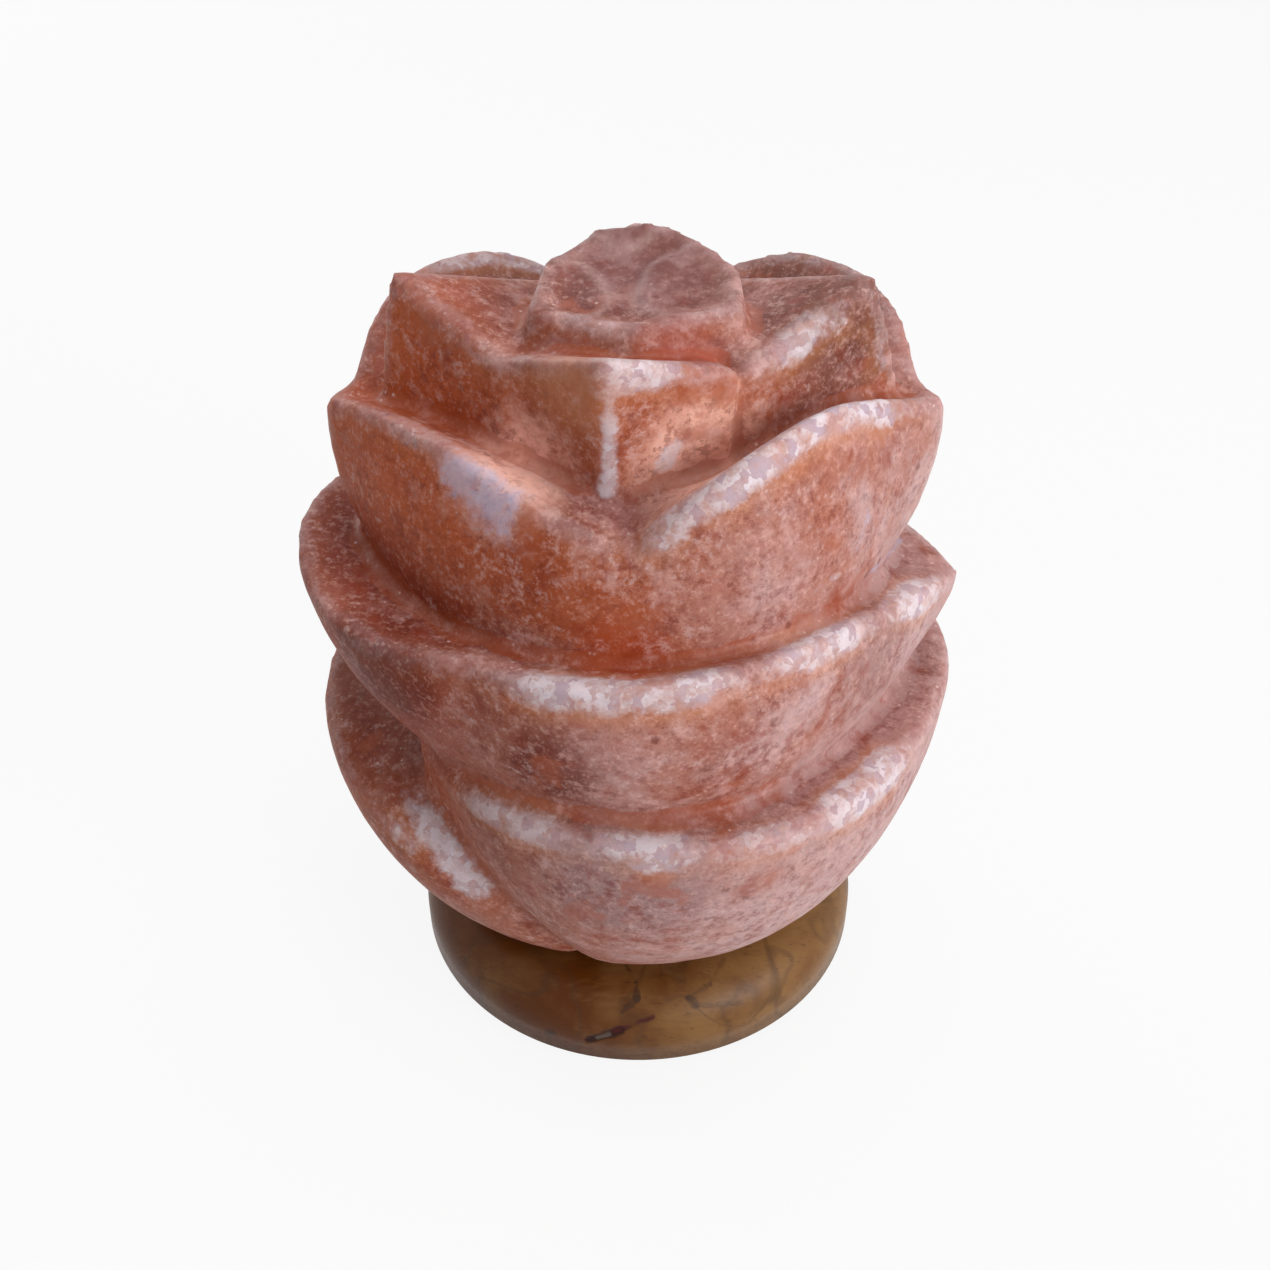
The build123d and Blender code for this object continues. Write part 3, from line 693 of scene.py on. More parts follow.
# %% Where the rims are milky and carry painted highlights
milky_highlight_places = (
    ((18, -36, 143), 16, 0.9), ((31, -26, 145), 12, 0.6), ((20, 55, 104), 20, 0.6),
    ((-45, 35, 104), 18, 0.6), ((0, 60, 76), 22, 0.6), ((-28, 36, 148), 14, 0.5),
    ((48, 20, 104), 16, 0.6), ((39, -14, 145), 16, 1.0), ((3, -38, 130), 9, 0.7),
    ((-12, -51, 108), 12, 0.8), ((6, -51, 109), 13, 1.0), ((32, -38, 108), 14, 0.8),
    ((55, -18, 103), 12, 0.8), ((2, -59, 76), 10, 0.65), ((24, -56, 75), 11, 0.5),
    ((44, -41, 73), 17, 1.0), ((-22, -49, 74), 12, 0.6), ((36, -22, 144), 18, 0.7),
    ((-43, -34, 57), 10, 0.9), ((-34, -40, 48), 8, 1.0), ((2, -31, 158), 12, 0.8),
    ((26, -12, 158), 10, 0.3),
)
# The white on the rims is partly milky crystal and partly painted highlight, standing in for the
# sheen of the light.
milkiness_and_highlight = (drift - 0.4) * 1.5
for place, reach, strength in milky_highlight_places:
    milkiness_and_highlight = milkiness_and_highlight + salt.near(place, reach, wobble=(mottle - 0.5) * 0.012) * strength
milkiness_and_highlight = salt.step(milkiness_and_highlight, 0.0, 1.2)
heart = salt.near((1, 6, 162), 20)
milkiness_and_highlight = milkiness_and_highlight * (1 - heart * 0.75)
salt.tell("its milky places")

# %% The milky band of crushed crystals, also a painted highlight, and its ochre edge
off_rim = rim + (mottle - 0.5) * 5.5 - milkiness_and_highlight * 2.2
cover = 1 - salt.step(off_rim, -1.0, 3.6)
band = salt.step(cover + (fleck - 0.5) * 1.2 + (mottle - 0.5) * 1.0, 0.25, 1.05)
gaps = salt.cloud(6.5 * mm, detail=5, roughness=0.6, shift=(6, 6, 1))
band = band * (0.4 + salt.step(gaps, 0.36, 0.52) * 0.6)
glow = 1 - salt.step(off_rim, 0.5, 6.0)
chunks = salt.cells(1.9 * mm, place=salt.bent(2 * mm, 2.4 * mm, detail=2), out="Color")
chunk_tone = salt.node("ShaderNodeSeparateColor", {}, {"Color": chunks}, out="Red")
# Blue-white tones of the band: crushed crystal, with painted highlight and painted sky reflection.
milky_highlight_tone = salt.layered(
    milky_highlight,
    (warm_milky_highlight, salt.step(fleck + (chunk_tone - 0.5) * 0.5, 0.36, 0.62)),
    (lilac_highlight, salt.step(chunk_tone, 0.45, 0.9) * 0.6),
)
body = salt.layered(
    body,
    (ochre, glow * (0.06 + milkiness_and_highlight * 0.24)),
    (milky_highlight_tone, band * (0.12 + milkiness_and_highlight * 0.62)),
)
salt.tell("its milky band")

# %% Single marks that this block has, and painted highlights along its ridges
marks = (
    ((-4.6, -32.5, 157), (-5.2, -28, 134), 1.9, milky_highlight, 0.8),
    ((4.6, -25.1, 137.2), (6, -25, 140), 2.2, milky_highlight, 0.6),
    ((38.5, -23, 119), (41, -21, 123.5), 1.6, lilac_highlight, 0.7),
    ((28, -33, 115), (35, -28, 115.8), 1.3, milky_highlight, 0.6),
    ((43.7, -17.2, 109), (53.2, 4.4, 101.3), 0.8, lilac_highlight, 0.6),
    ((-46, -32, 64), (-33, -41, 47), 4.2, milky_highlight, 0.7),
    ((-31, -27, 136), (-23.5, -32.5, 133), 5.2, lilac_highlight, 0.7),
)
# The milky and blue-violet lines along the keel and the ridges are partly milky crystal and partly
# painted highlight.
for start, end, reach, colour, strength in marks:
    wobble = (fleck - 0.5) * 0.002 + (mottle - 0.5) * (reach * mm) * 2.4
    mark = salt.line(start, end, reach, wobble)
    body = salt.blend(body, colour, mark * (0.45 + chunk_tone * 0.55) * strength)
honey = salt.near((-12, -28, 151), 11, wobble=(mottle - 0.5) * 0.006)
red_flap = salt.near((8, -17, 154), 9, wobble=(mottle - 0.5) * 0.008)
# The mauve-grey on the up-facing top of the bud is a painted sky reflection.
heart_sky_reflection = salt.blend((118, 72, 68), (150, 112, 110), salt.step(mottle, 0.4, 0.65))
body = salt.layered(
    body,
    ((196, 126, 90), honey * 0.5),
    ((150, 58, 38), red_flap * 0.45),
    (heart_sky_reflection, heart * salt.step(up, 0.35, 0.8) * 0.65),
    ((200, 172, 168), salt.attribute("fold_edge") * (0.05 + fleck * 0.45)),
)

# %% Close the finish
grain_bump = salt.bump(fleck + grit * 0.5, 0.1 * mm, strength=0.6)
facet_bump = salt.bump(chunk_tone, 0.2 * mm, under=grain_bump, strength=0.12)
salt_finish = salt.finish(
    Base_Color=body,
    Roughness=0.55 + (fleck - 0.5) * 0.4 - pool * 0.2 - band * 0.1,
    Normal=facet_bump,
    Specular_IOR_Level=0.14,
    Subsurface_Weight=0.2,
    Subsurface_Radius=(1.0, 0.45, 0.3),
    Subsurface_Scale=2.5 * mm,
)
rose.data.materials.append(salt_finish)
pick(rose)
bpy.ops.object.shade_smooth()
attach(rose, "root")
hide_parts("salt_rose")
salt.tell("its shader")

# %% [markdown]
# ## The turned base
# The base is a round of an oily olive-brown wood, turned with a full bullnose edge, stained
# and waxed. Its figure is quiet: cloudy light and dark zones, fine long pores along X, and a
# few thin dark lines where the growth wandered. One small healed crack sits at the front.
# The cloudiness and the pores come from noise, and the ground is painted lighter towards the
# right side as painted light. The lines that this very piece has are drawn
# as soft strokes between places on its skin.

# %% Mix the wood's ground colour
wood = Finish("turned wood")
bent = wood.bent(24 * mm, 9 * mm, detail=3)
along = wood.shifted(rotation=(0, 0, 0.25), scale=(0.12, 1, 1), place=bent)
zones = wood.cloud(21 * mm, detail=4, place=bent)
figure = wood.cloud(3.4 * mm, detail=5, roughness=0.6, place=along)
pores = wood.cloud(0.55 * mm, detail=3, roughness=0.7, place=along)
tone = wood.layered(
    (86, 42, 4),
    # Lighter towards the right: painted light from the window side.
    ((124, 88, 50), wood.step(zones + wood.axis("X") * 5.0, 0.34, 0.74)),
    ((64, 32, 6), wood.step(figure, 0.52, 0.8) * 0.6),
    ((146, 106, 62), wood.step(1 - figure, 0.56, 0.8) * 0.35),
    ((54, 28, 12), wood.step(pores, 0.56, 0.74) * 0.55),
)

# %% Add the wandering dark lines
wander = wood.cloud(34 * mm, detail=2, place=wood.shifted(location=(0.4, 0.1, 0.2), place=bent))
thin_line = 1 - wood.step(abs(wander - 0.5), 0.002, 0.011)
second = wood.cloud(26 * mm, detail=2, place=wood.shifted(location=(0.1, 0.7, 0.5), place=bent))
soft_line = 1 - wood.step(abs(second - 0.53), 0.004, 0.03)
tone = wood.layered(
    tone,
    ((52, 34, 24), thin_line * wood.step(zones, 0.4, 0.55) * 0.3),
    ((70, 46, 28), soft_line * 0.35),
)
strokes = (
    ((-2.8, -37.3, 20), (-0.4, -42, 19.2), 0.6, 0.5),
    ((-0.4, -42, 19.2), (-0.3, -45, 18), 0.6, 0.6),
    ((-0.3, -45, 18), (-3.4, -47.1, 16.3), 0.6, 0.5),
    ((18.3, -36.1, 19.9), (15.3, -41.6, 18.6), 0.6, 0.28),
    ((15.3, -41.6, 18.6), (10.8, -44.3, 17.8), 0.8, 0.35),
    ((10.8, -44.3, 17.8), (12.2, -45.6, 16.3), 0.9, 0.5),
    ((12.2, -45.6, 16.3), (21.8, -43.3, 14.5), 0.6, 0.3),
    ((1.2, -49.7, 11.3), (8.5, -49.3, 4.6), 0.6, 0.4),
    ((-18.9, -46.3, 7.8), (-18.6, -46.4, 8.6), 1.4, 0.6),
)
shake = (figure - 0.5) * 0.003
for start, end, reach, strength in strokes:
    stroke = wood.line(start, end, reach, wobble=shake)
    tone = wood.blend(tone, (44, 28, 22), stroke * strength)

# %% Add the healed crack and the wax
crack = wood.line((-10.7, -48.8, 9.1), (-4, -49.2, 12.8), 1.3, wobble=shake)
tail = wood.line((-5, -49, 12.5), (3.1, -47.8, 15.5), 0.8, wobble=shake)
chip = wood.line((-8.6, -49.2, 10.3), (-6.2, -49.3, 11.7), 0.7, wobble=shake)
rubbed_height = 3.0 * mm
rubbed = 1 - wood.step(abs(wood.axis("Z") - rubbed_height), 0.4 * mm, 1.2 * mm)
tone = wood.layered(
    tone,
    ((40, 12, 10), crack),
    ((62, 20, 18), tail * 0.9),
    ((104, 92, 82), chip * 0.6),
    ((128, 92, 56), rubbed * 0.5),
)
relief = wood.bump(crack * -1.0, 0.5 * mm, strength=0.8)
relief = wood.bump(pores + figure * 0.4, 0.07 * mm, under=relief, strength=0.4)
wood_finish = wood.finish(
    Base_Color=tone,
    Roughness=0.4 + (pores - 0.5) * 0.4 + crack * 0.3,
    Normal=relief,
    Specular_IOR_Level=0.16,
    Coat_Weight=0.03,
    Coat_Roughness=0.35,
)

# %% Turn the base
def soften(piece, width, angle):
    """Bevel the edges that are sharper than an angle in degrees."""
    limit = {"limit_method": "ANGLE", "angle_limit": radians(angle)}
    apply_modifier(piece, "BEVEL", width=width, segments=2, **limit)


def settle(piece, material, body, node, smooth_angle=40):
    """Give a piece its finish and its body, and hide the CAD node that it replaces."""
    piece.data.materials.clear()
    piece.data.materials.append(material)
    pick(piece)
    bpy.ops.object.shade_smooth_by_angle(angle=radians(smooth_angle))
    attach(piece, body)
    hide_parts(node)
    print(piece.name, "has", len(piece.data.polygons), "faces")


base = copy_of_node("wooden_base", "turned_base")
soften(base, 0.3 * mm, 50)
settle(base, wood_finish, "root", "wooden_base", 35)
wood.tell("its figure, crack and wax")

# %% [markdown]
# ## Turned and rolled pieces
# Feet, screws and the bulb's cap are round. Each starts from a line of corners drawn beside
# the axis by extruding one corner again and again, which is then spun round. A screw thread
# is a small closed ring of corners that a Screw modifier drags along a helix. Their outlines
# are in millimetres, as pairs of the way out from the axis and the height.

# %% Draw a line of corners, spin it, or drag it along a helix
def drawn_line(name, outline, closed=False):
    """A line of corners in the XZ plane, given in millimetres."""
    bpy.ops.object.select_all(action="DESELECT")
    bpy.ops.mesh.primitive_plane_add(size=1 * mm, location=(0, 0, 0))
    piece = bpy.context.object
    piece.name = name
    edit(piece)
    bpy.ops.mesh.merge(type="CENTER")
    first = outline[0]
    bpy.ops.transform.translate(value=(first[0] * mm, 0, first[1] * mm))
    stops = list(outline[1:]) + ([first] if closed else [])
    here = first
    for stop in stops:
        move = ((stop[0] - here[0]) * mm, 0, (stop[1] - here[1]) * mm)
        bpy.ops.mesh.extrude_region_move(TRANSFORM_OT_translate={"value": move})
        here = stop
    bpy.ops.mesh.select_all(action="SELECT")
    bpy.ops.mesh.remove_doubles(threshold=merge_within)
    return piece


def spun(name, outline, steps=64):
    """A turned piece: the drawn line spun once round the Z axis."""
    piece = drawn_line(name, outline)
    bpy.ops.mesh.select_all(action="SELECT")
    bpy.ops.mesh.spin(steps=steps, angle=tau, center=(0, 0, 0), axis=(0, 0, 1))
    bpy.ops.mesh.select_all(action="SELECT")
    bpy.ops.mesh.remove_doubles(threshold=merge_within)
    bpy.ops.mesh.normals_make_consistent(inside=False)
    bpy.ops.object.mode_set(mode="OBJECT")
    return piece


def thread(name, outline, pitch, turns, steps=40):
    """A helical ridge with closed ends."""
    piece = drawn_line(name, outline, closed=True)
    bpy.ops.object.mode_set(mode="OBJECT")
    helix = {"screw_offset": pitch * mm, "iterations": turns, "angle": tau}
    detail = {"steps": steps, "render_steps": steps, "use_normal_calculate": True}
    apply_modifier(piece, "SCREW", **helix, **detail)
    edit(piece)
    bpy.ops.mesh.fill_holes(sides=0)
    bpy.ops.mesh.select_all(action="SELECT")
    bpy.ops.mesh.normals_make_consistent(inside=False)
    bpy.ops.object.mode_set(mode="OBJECT")
    return piece

# %% Join, copy and cut pieces
def joined(pieces):
    """Several pieces made one mesh, under the first one's name."""
    pick(pieces[0])
    for piece in pieces:
        piece.select_set(True)
    bpy.ops.object.join()
    return pieces[0]


def copied_to(piece, spots):
    """The piece at the first spot, and copies with their own mesh at the others."""
    copies = []
    for _ in spots[1:]:
        copy = piece.copy()
        copy.data = piece.data.copy()
        scene.collection.objects.link(copy)
        copies.append(copy)
    for one, spot in zip([piece] + copies, spots):
        edit(one)
        bpy.ops.transform.translate(value=spot)
        bpy.ops.object.mode_set(mode="OBJECT")
    return joined([piece] + copies)


def on_circle(radius, angles, height):
    """Places round the Z axis, from millimetres and degrees."""
    turns = [radians(angle) for angle in angles]
    return [(radius * mm * cos(turn), radius * mm * sin(turn), height * mm) for turn in turns]


def cut(piece, tool):
    """Cut one piece away from another, and remove it."""
    settings = {"operation": "DIFFERENCE", "solver": "EXACT", "use_self": True}
    apply_modifier(piece, "BOOLEAN", object=tool, **settings)
    bpy.data.objects.remove(tool)


# %% [markdown]
# ## Rubber feet
# Each foot is a moulded disc with a rounded lip, a shallow cup in its sole and a small pip
# in the middle, pressed into a seat in the base. The rubber is black and matt, and the rim
# that touches the table is scuffed grey and dusty.

# %% Make the feet
rubber = Finish("foot rubber")
dust = rubber.cloud(2.5 * mm, detail=6, roughness=0.7)
grain = rubber.cloud(0.35 * mm, detail=2)
scuff = (1 - rubber.step(rubber.axis("Z"), 0.1 * mm, 0.9 * mm)) * rubber.step(dust, 0.4, 0.6)
rubber_tone = rubber.blend((34, 33, 32), (58, 56, 53), rubber.step(dust, 0.4, 0.7))
rubber_tone = rubber.blend(rubber_tone, (116, 110, 102), scuff * 0.8)
rubber_finish = rubber.finish(
    Base_Color=rubber_tone,
    Roughness=0.72 + (dust - 0.5) * 0.3,
    Normal=rubber.bump(grain, 0.05 * mm, strength=0.6),
)
foot_outline = (
    (0, 0.35), (0.9, 0.35), (1.2, 0.75), (3.3, 0.75), (3.8, 0.2), (4.2, 0.0), (4.7, 0.05),
    (5.1, 0.45), (5.3, 1.0), (5.3, 1.7), (5.5, 1.9), (5.5, 2.9), (5.4, 3.0), (5.4, 4.0), (0, 4.0),
)
foot_circle = 39.0
foot_spots = on_circle(foot_circle, (45, 135, 225, 315), 0)
feet = copied_to(spun("moulded_feet", foot_outline), foot_spots)
settle(feet, rubber_finish, "root", "rubber_feet")

# %% [markdown]
# ## Wood screws
# Three zinc-plated screws go up through the base into plugs in the salt. Each has a pan head
# with a rounded edge and a cross recess, a plain neck, a sharp thread and a cone at its tip.
# The recess is cut by a Boolean modifier with a cross that is drawn out of one block.

# %% Make the base screws
zinc = Finish("zinc screw")
haze = zinc.cloud(1.6 * mm, detail=5, roughness=0.65)
turning = zinc.cloud(0.25 * mm, detail=2, place=zinc.shifted(scale=(0.3, 0.3, 2)))
zinc_tone = zinc.blend((176, 178, 180), (150, 148, 140), zinc.step(haze, 0.4, 0.7))
zinc_tone = zinc.blend(zinc_tone, (196, 184, 150), zinc.step(haze, 0.62, 0.75) * 0.5)
zinc_finish = zinc.finish(
    Base_Color=zinc_tone,
    Metallic=1.0,
    Roughness=0.32 + (haze - 0.5) * 0.4,
    Normal=zinc.bump(turning, 0.02 * mm, strength=0.5),
)
screw_outline = (
    (0, 0), (2.9, 0), (3.5, 0.25), (3.8, 0.8), (3.8, 2.2), (3.7, 2.4), (1.9, 2.4),
    (1.9, 12.0), (1.35, 12.4), (1.35, 34.0), (0.5, 36.6), (0, 37.4),
)
screw_body = spun("base_screws_threaded", screw_outline, steps=48)
screw_ridge = ((1.3, 12.6), (1.9, 13.15), (1.9, 13.25), (1.3, 13.8))
screw_pitch, screw_turns = 1.8, 11
ridge = thread("wood_thread", screw_ridge, screw_pitch, screw_turns)
screw_body = joined([screw_body, ridge])
print("one screw has", len(screw_body.data.polygons), "faces before its recess is cut")

# %% Cut the cross recess and set the screws in place
bpy.ops.object.select_all(action="DESELECT")
bpy.ops.mesh.primitive_cube_add(size=1 * mm, location=(0, 0, 0.5 * mm))
cross = bpy.context.object
edit(cross)
recess = (4.4, 1.0, 2.8)
bpy.ops.transform.resize(value=recess, center_override=(0, 0, 0))
bpy.ops.mesh.duplicate_move()
bpy.ops.transform.rotate(value=radians(90), orient_axis="Z", center_override=(0, 0, 0))
bpy.ops.object.mode_set(mode="OBJECT")
cut(screw_body, cross)
screw_circle, screw_height = 28.5, 6.6
screws = copied_to(screw_body, on_circle(screw_circle, (-90, 30, 150), screw_height))
settle(screws, zinc_finish, "root", "base_screws", 35)
print("the screws' box is", [round(side * 1000, 1) for side in screws.dimensions])

# %% [markdown]
# ## The bulb's screw cap
# The cap is a drawn nickel-plated shell with a round thread rolled into it, a straight skirt
# above the thread that takes the glass, and a rolled-in foot over the black glass ring.

# %% Make the bulb's cap
nickel = Finish("nickel cap")
tarnish = nickel.cloud(3.0 * mm, detail=5, roughness=0.6)
rub = nickel.cloud(0.3 * mm, detail=3, place=nickel.shifted(scale=(0.25, 0.25, 2.5)))
tarnished = nickel.step(tarnish, 0.4, 0.72)
nickel_finish = nickel.finish(
    Base_Color=nickel.blend((190, 186, 178), (150, 142, 128), tarnished),
    Metallic=1.0,
    Roughness=0.26 + (tarnish - 0.5) * 0.35,
    Normal=nickel.bump(rub, 0.02 * mm, strength=0.4),
)
cap_outline = (
    (0, 24.15), (4.9, 24.15), (5.5, 24.3), (5.85, 24.9), (5.85, 37.2), (6.1, 37.8), (6.1, 41.0),
    (6.4, 41.3), (6.4, 42.1), (5.6, 42.1), (5.6, 25.2), (0, 25.2),
)
rolled_ridge = (
    (5.8, 25.2), (6.1, 25.5), (6.33, 25.95), (6.4, 26.45), (6.33, 26.95), (6.1, 27.4), (5.8, 27.7),
)
cap_pitch, cap_turns = 2.82, 4
cap = spun("bulb_cap_rolled", cap_outline)
cap = joined([cap, thread("rolled_thread", rolled_ridge, cap_pitch, cap_turns, steps=56)])
settle(cap, nickel_finish, "bulb", "bulb_cap", 50)

# %% [markdown]
# ## The filament
# A filament is a very fine coil. A straight coil is wound first with a Screw modifier, and a
# Curve modifier then bends it along the arch that the lead wires hold up.

# %% Wind the filament
tungsten = Finish("tungsten")
sooty = tungsten.cloud(0.8 * mm, detail=4)
blackened = tungsten.step(sooty, 0.4, 0.7)
tungsten_finish = tungsten.finish(
    Base_Color=tungsten.blend((96, 94, 92), (58, 56, 56), blackened),
    Metallic=1.0,
    Roughness=0.45 + (sooty - 0.5) * 0.3,
    Normal=tungsten.bump(sooty, 0.02 * mm, strength=0.3),
)
wire = ((0.19, -0.05), (0.29, -0.05), (0.29, 0.05), (0.19, 0.05))
coil_pitch, coil_turns = 0.24, 56
coil = thread("filament_coil", wire, coil_pitch, coil_turns, steps=10)
edit(coil)
bpy.ops.transform.rotate(value=-radians(90), orient_axis="Y", center_override=(0, 0, 0))
bpy.ops.object.mode_set(mode="OBJECT")
wound = points(coil)
if wound[:, 0].mean() < 0:
    wound[:, 0] *= -1
    wound[:, 1] *= -1
    move_points(coil, wound)
print("the straight coil is", round(float(np.ptp(wound[:, 0])) / mm, 1), "mm long")

# %% Bend the coil along its arch
route = bpy.data.curves.new("filament_route", "CURVE")
route.dimensions = "3D"
spline = route.splines.new("POLY")
arch_steps = 24
spline.points.add(arch_steps)
arch_top, arch_foot, half = 65.5, 62.45, 6.0
rise = arch_top - arch_foot
bow = (half * half + rise * rise) / (2 * rise)
for index in range(arch_steps + 1):
    turn = (index / arch_steps * 2 - 1) * np.arcsin(half / bow)
    x, z = bow * np.sin(turn), arch_top - bow + bow * np.cos(turn)
    spline.points[index].co = (x * mm, 0, z * mm, 1)
arch = bpy.data.objects.new("filament_route", route)
scene.collection.objects.link(arch)
apply_modifier(coil, "CURVE", object=arch, deform_axis="POS_X")
bpy.data.objects.remove(arch)
settle(coil, tungsten_finish, "bulb", "filament", 60)
print("the coil's box is", [round(side * 1000, 2) for side in coil.dimensions])

# %% [markdown]
# ## The lamp holder
# The lower cap of the holder is moulded with grip ribs, so that fingers can unscrew it. The
# ribs are left standing between grooves that a ring of small rods cuts away, but none over
# the cord's inlet. The plastic is a warm white with a fine sand-blasted skin, a little
# yellowed by the bulb's heat higher up.

# %% Mix the moulded plastic
plastic = Finish("holder plastic")
skin = plastic.cloud(0.4 * mm, detail=3, roughness=0.7)
handled = plastic.cloud(7 * mm, detail=5, roughness=0.65)
warmed = plastic.step(plastic.axis("Z") + (handled - 0.5) * 0.02, 0.012, 0.046)
white_plastic = plastic.layered(
    (226, 223, 214),
    ((214, 202, 176), warmed * 0.7),
    ((188, 180, 166), plastic.step(handled, 0.55, 0.72) * 0.45),
)
plastic_finish = plastic.finish(
    Base_Color=white_plastic,
    Roughness=0.46 + (handled - 0.5) * 0.3,
    Normal=plastic.bump(skin, 0.03 * mm, strength=0.5),
    Coat_Weight=0.1,
)

# %% Cut the grip grooves
grip_count = 20
grip_radius = 14.35
grip_height = 9.4
over_inlet = (4, 5)
bpy.ops.object.select_all(action="DESELECT")
bpy.ops.mesh.primitive_cylinder_add(
    vertices=16, radius=0.95 * mm, depth=6.0 * mm, location=(0, 0, 0)
)
rod = bpy.context.object
edit(rod)
bpy.ops.mesh.bevel(offset=0.4 * mm, segments=2)
bpy.ops.object.mode_set(mode="OBJECT")
kept = [index for index in range(grip_count) if index not in over_inlet]
grip_angles = [(index + 0.5) * 360 / grip_count for index in kept]
rods = copied_to(rod, on_circle(grip_radius, grip_angles, grip_height))
gripped = copy_of_node("holder_cap", "holder_cap_gripped")
cut(gripped, rods)
soften(gripped, 0.15 * mm, 45)
settle(gripped, plastic_finish, "holder", "holder_cap", 35)
print("the cap's box is", [round(side * 1000, 1) for side in gripped.dimensions])

# %% [markdown]
# ## Finishes of the pieces that keep their CAD shape
# The other pieces already have their right shape, so they stay, and each gets the finish of
# its real material: sand-blasted plastic, glazed ceramic, brass that has darkened, grey
# spring steel, clear glass with a few specks, copper and solder.

# %% Finish the plastic and nylon pieces
def coat(material, *nodes):
    """Give CAD nodes the finish of their real material."""
    for name in nodes:
        for one in frame["nodes"][name].material_slots:
            one.material = material
        print(name, "gets", material.name)


coat(plastic_finish, "holder_shell", "shell_lid")

nylon = Finish("nylon plug")
nylon_cloud = nylon.cloud(2 * mm, detail=4)
chalky = nylon.step(nylon_cloud, 0.4, 0.7)
nylon_ribs = nylon.cloud(1.1 * mm, detail=1, place=nylon.shifted(scale=(0.05, 0.05, 1)))
coat(
    nylon.finish(
        Base_Color=nylon.blend((206, 203, 194), (178, 172, 158), chalky),
        Roughness=0.4 + (nylon_cloud - 0.5) * 0.25,
        Normal=nylon.bump(nylon_ribs, 0.2 * mm, strength=0.5),
        Subsurface_Weight=0.2,
        Subsurface_Scale=1 * mm,
    ),
    "salt_plugs",
)

# %% Finish the ceramic block
ceramic = Finish("block ceramic")
body_grain = ceramic.cloud(0.5 * mm, detail=4, roughness=0.7)
fired = ceramic.step(ceramic.cloud(4 * mm, detail=4), 0.45, 0.7)
ceramic_specks = 1 - ceramic.step(ceramic.cells(1.3 * mm), 0.06, 0.12)
ceramic_tone = ceramic.layered(
    (232, 228, 218),
    ((206, 198, 184), fired),
    ((120, 104, 88), ceramic_specks * 0.5),
)
coat(
    ceramic.finish(
        Base_Color=ceramic_tone,
        Roughness=0.5 + (body_grain - 0.5) * 0.3,
        Normal=ceramic.bump(body_grain, 0.05 * mm, strength=0.5),
        Coat_Weight=0.3,
        Coat_Roughness=0.15,
    ),
    "terminal_block",
)

# %% Finish the metal pieces
def metal(name, bright, dull, size, roughness, direction=(1, 1, 1), depth=0.02):
    """A worked metal: a bright ground, dull stains that are size mm across, fine marks."""
    made = Finish(name)
    stain = made.cloud(size * mm, detail=4, roughness=0.5)
    marks = made.cloud(0.3 * mm, detail=2, place=made.shifted(scale=direction))
    tone = made.blend(bright, dull, made.step(stain + (marks - 0.5) * 0.2, 0.4, 0.8) * 0.7)
    return made.finish(
        Base_Color=tone,
        Metallic=1.0,
        Roughness=roughness + (stain - 0.5) * 0.25,
        Normal=made.bump(marks, depth * mm, strength=0.5),
    )


brass_finish = metal("brass", (202, 164, 94), (136, 98, 52), 2.4, 0.3, (0.2, 1, 1))
coat(brass_finish, "screw_sleeve", "terminal_plates", "terminal_screws", "contact_tongue")
steel_finish = metal("spring steel", (168, 170, 174), (104, 100, 100), 3.2, 0.28, (1, 1, 0.15))
coat(steel_finish, "clip_band", "clip_wing_right", "clip_wing_left")
coat(metal("rivet steel", (182, 182, 180), (128, 122, 114), 1.2, 0.35), "clip_rivets")
solder = metal("solder", (186, 188, 192), (128, 130, 134), 0.9, 0.38, depth=0.06)
coat(solder, "bulb_contact")
coat(metal("copper wire", (208, 138, 104), (132, 78, 54), 0.9, 0.34), "lead_wires")
coat(tungsten_finish, "support_wires")

# %% Finish the glass pieces
black_glass = Finish("black glass")
smoke = black_glass.cloud(1.5 * mm, detail=5)
smoky = black_glass.step(smoke, 0.45, 0.7)
coat(
    black_glass.finish(
        Base_Color=black_glass.blend((24, 20, 26), (56, 46, 58), smoky),
        Roughness=0.12 + smoke * 0.2,
        Normal=black_glass.bump(smoke, 0.05 * mm, strength=0.4),
        Coat_Weight=0.5,
    ),
    "bulb_insulator",
)


def clear(name, tint, ripple_depth):
    """Clear glass with a few dust specks and a faint ripple."""
    made = Finish(name)
    ripple = made.cloud(6 * mm, detail=3)
    specks = 1 - made.step(made.cells(2.6 * mm), 0.03, 0.07)
    return made.finish(
        Base_Color=made.blend(tint, (190, 186, 176), specks * 0.6),
        Transmission_Weight=1.0,
        IOR=1.48,
        Roughness=0.015 + specks * 0.4 + made.step(ripple, 0.55, 0.8) * 0.05,
        Normal=made.bump(ripple, ripple_depth * mm, strength=0.3),
    )


coat(clear("clear glass", (248, 250, 250), 0.05), "bulb_glass")
coat(clear("stem glass", (226, 238, 232), 0.15), "bulb_stem")

# %% [markdown]
# ## Light, floor and camera
# The lamp stands on a plain pale floor under three large soft lights. The floor and the sky
# are white to the camera, and dimmer as light on the lamp. The camera looks down by 37
# degrees from about 30 cm away.

# %% The floor
def seen_by(tree):
    """1 for rays from the camera, off a glossy face or through glass, and 0 for the others."""
    rays = tree.nodes.new("ShaderNodeLightPath")
    seen = rays.outputs["Is Camera Ray"]
    for kind in ("Is Glossy Ray", "Is Transmission Ray"):
        either = tree.nodes.new("ShaderNodeMath")
        either.operation = "MAXIMUM"
        tree.links.new(seen, either.inputs[0])
        tree.links.new(rays.outputs[kind], either.inputs[1])
        seen = either.outputs[0]
    return seen


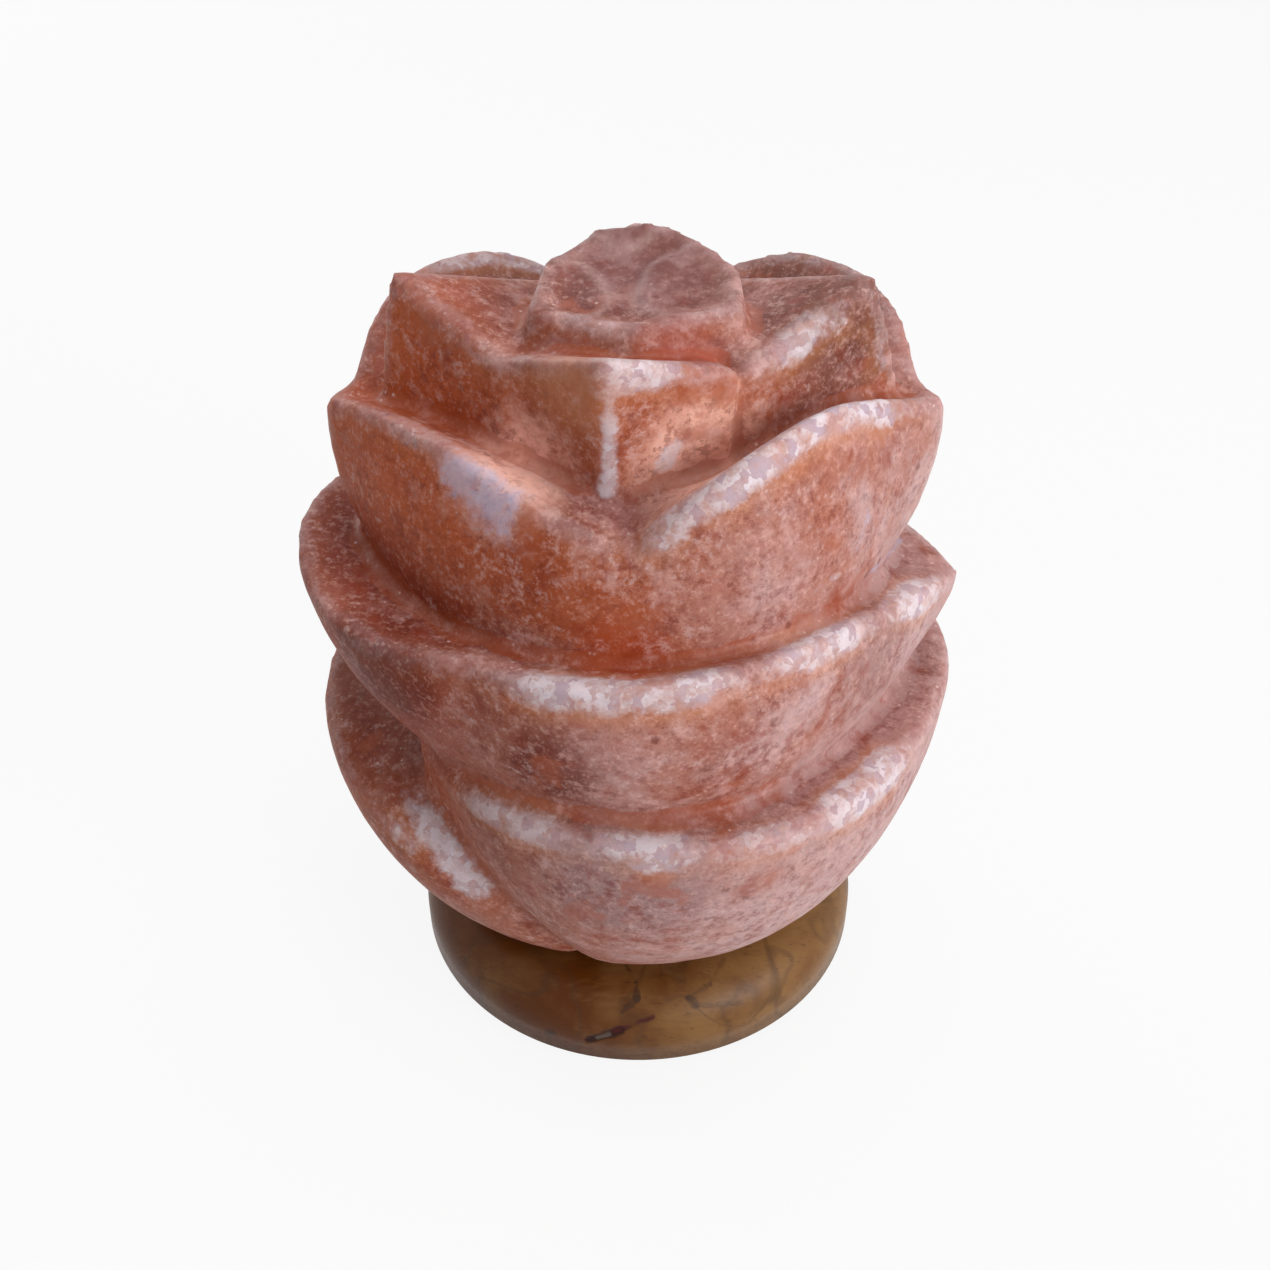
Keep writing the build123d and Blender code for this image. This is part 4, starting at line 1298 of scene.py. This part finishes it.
bpy.ops.object.select_all(action="DESELECT")
bpy.ops.mesh.primitive_plane_add(size=8.0, location=(0, 0, 0))
floor = bpy.context.object
floor.name = "studio_floor"
floor_grey = 0.6
white_share = 0.9
paper = Finish("pale floor")
seen = Value(paper, seen_by(paper.material.node_tree))
dull = paper.node("ShaderNodeBsdfDiffuse", {}, {"Color": (floor_grey, floor_grey, floor_grey, 1)})
white = paper.node("ShaderNodeEmission", {}, {"Color": (1, 1, 1, 1), "Strength": 1.0})
paper.node_out(paper.node("ShaderNodeMixShader", {}, {0: seen * white_share, 1: dull, 2: white}))
floor.data.materials.append(paper.material)
paper.tell("its two shaders")

# %% The lights
light_width = 0.9
aim = Vector((0, 0, 0.08))


def soft_light(name, place, power):
    """A round area light that is turned to the middle of the lamp."""
    light = bpy.data.lights.new(name, "AREA")
    light.shape = "DISK"
    light.size = light_width
    light.energy = power
    stand = bpy.data.objects.new(name, light)
    stand.location = place
    stand.rotation_euler = (aim - Vector(place)).to_track_quat("-Z", "Y").to_euler()
    scene.collection.objects.link(stand)
    print(name, "has", power, "W")


soft_light("soft light over the lamp", (0.2, 0.1, 1.2), 7)
soft_light("window light from the right", (1.0, -0.9, 0.5), 17)
soft_light("weak light from behind", (-0.8, 0.9, 0.6), 5)

# %% The sky
sky_light, sky_white = 0.35, 1.0
world = bpy.data.worlds.new("studio")
scene.world = world
world.use_nodes = True
sky = world.node_tree
background = sky.nodes["Background"]
background.inputs["Color"].default_value = (1, 1, 1, 1)
strength = sky.nodes.new("ShaderNodeMapRange")
strength.inputs["To Min"].default_value = sky_light
strength.inputs["To Max"].default_value = sky_white
sky.links.new(seen_by(sky), strength.inputs["Value"])
sky.links.new(strength.outputs["Result"], background.inputs["Strength"])

# %% The camera
photo_width = 1270
focal_pixels = 1450
right_pixels = 3.2
sensor_width = 36.0
looks_down = 37.47
eye = bpy.data.cameras.new("eye")
eye.sensor_width = sensor_width
eye.lens = sensor_width * focal_pixels / photo_width
eye.shift_x = -right_pixels / photo_width
eye.clip_start = 0.01
camera = bpy.data.objects.new("eye", eye)
camera.location = (0, -0.2414, 0.2654)
camera.rotation_euler = (radians(90 - looks_down), 0, 0)
scene.collection.objects.link(camera)
scene.camera = camera
scene.view_settings.view_transform = "Standard"
print("the camera's lens is", round(eye.lens, 2), "mm")
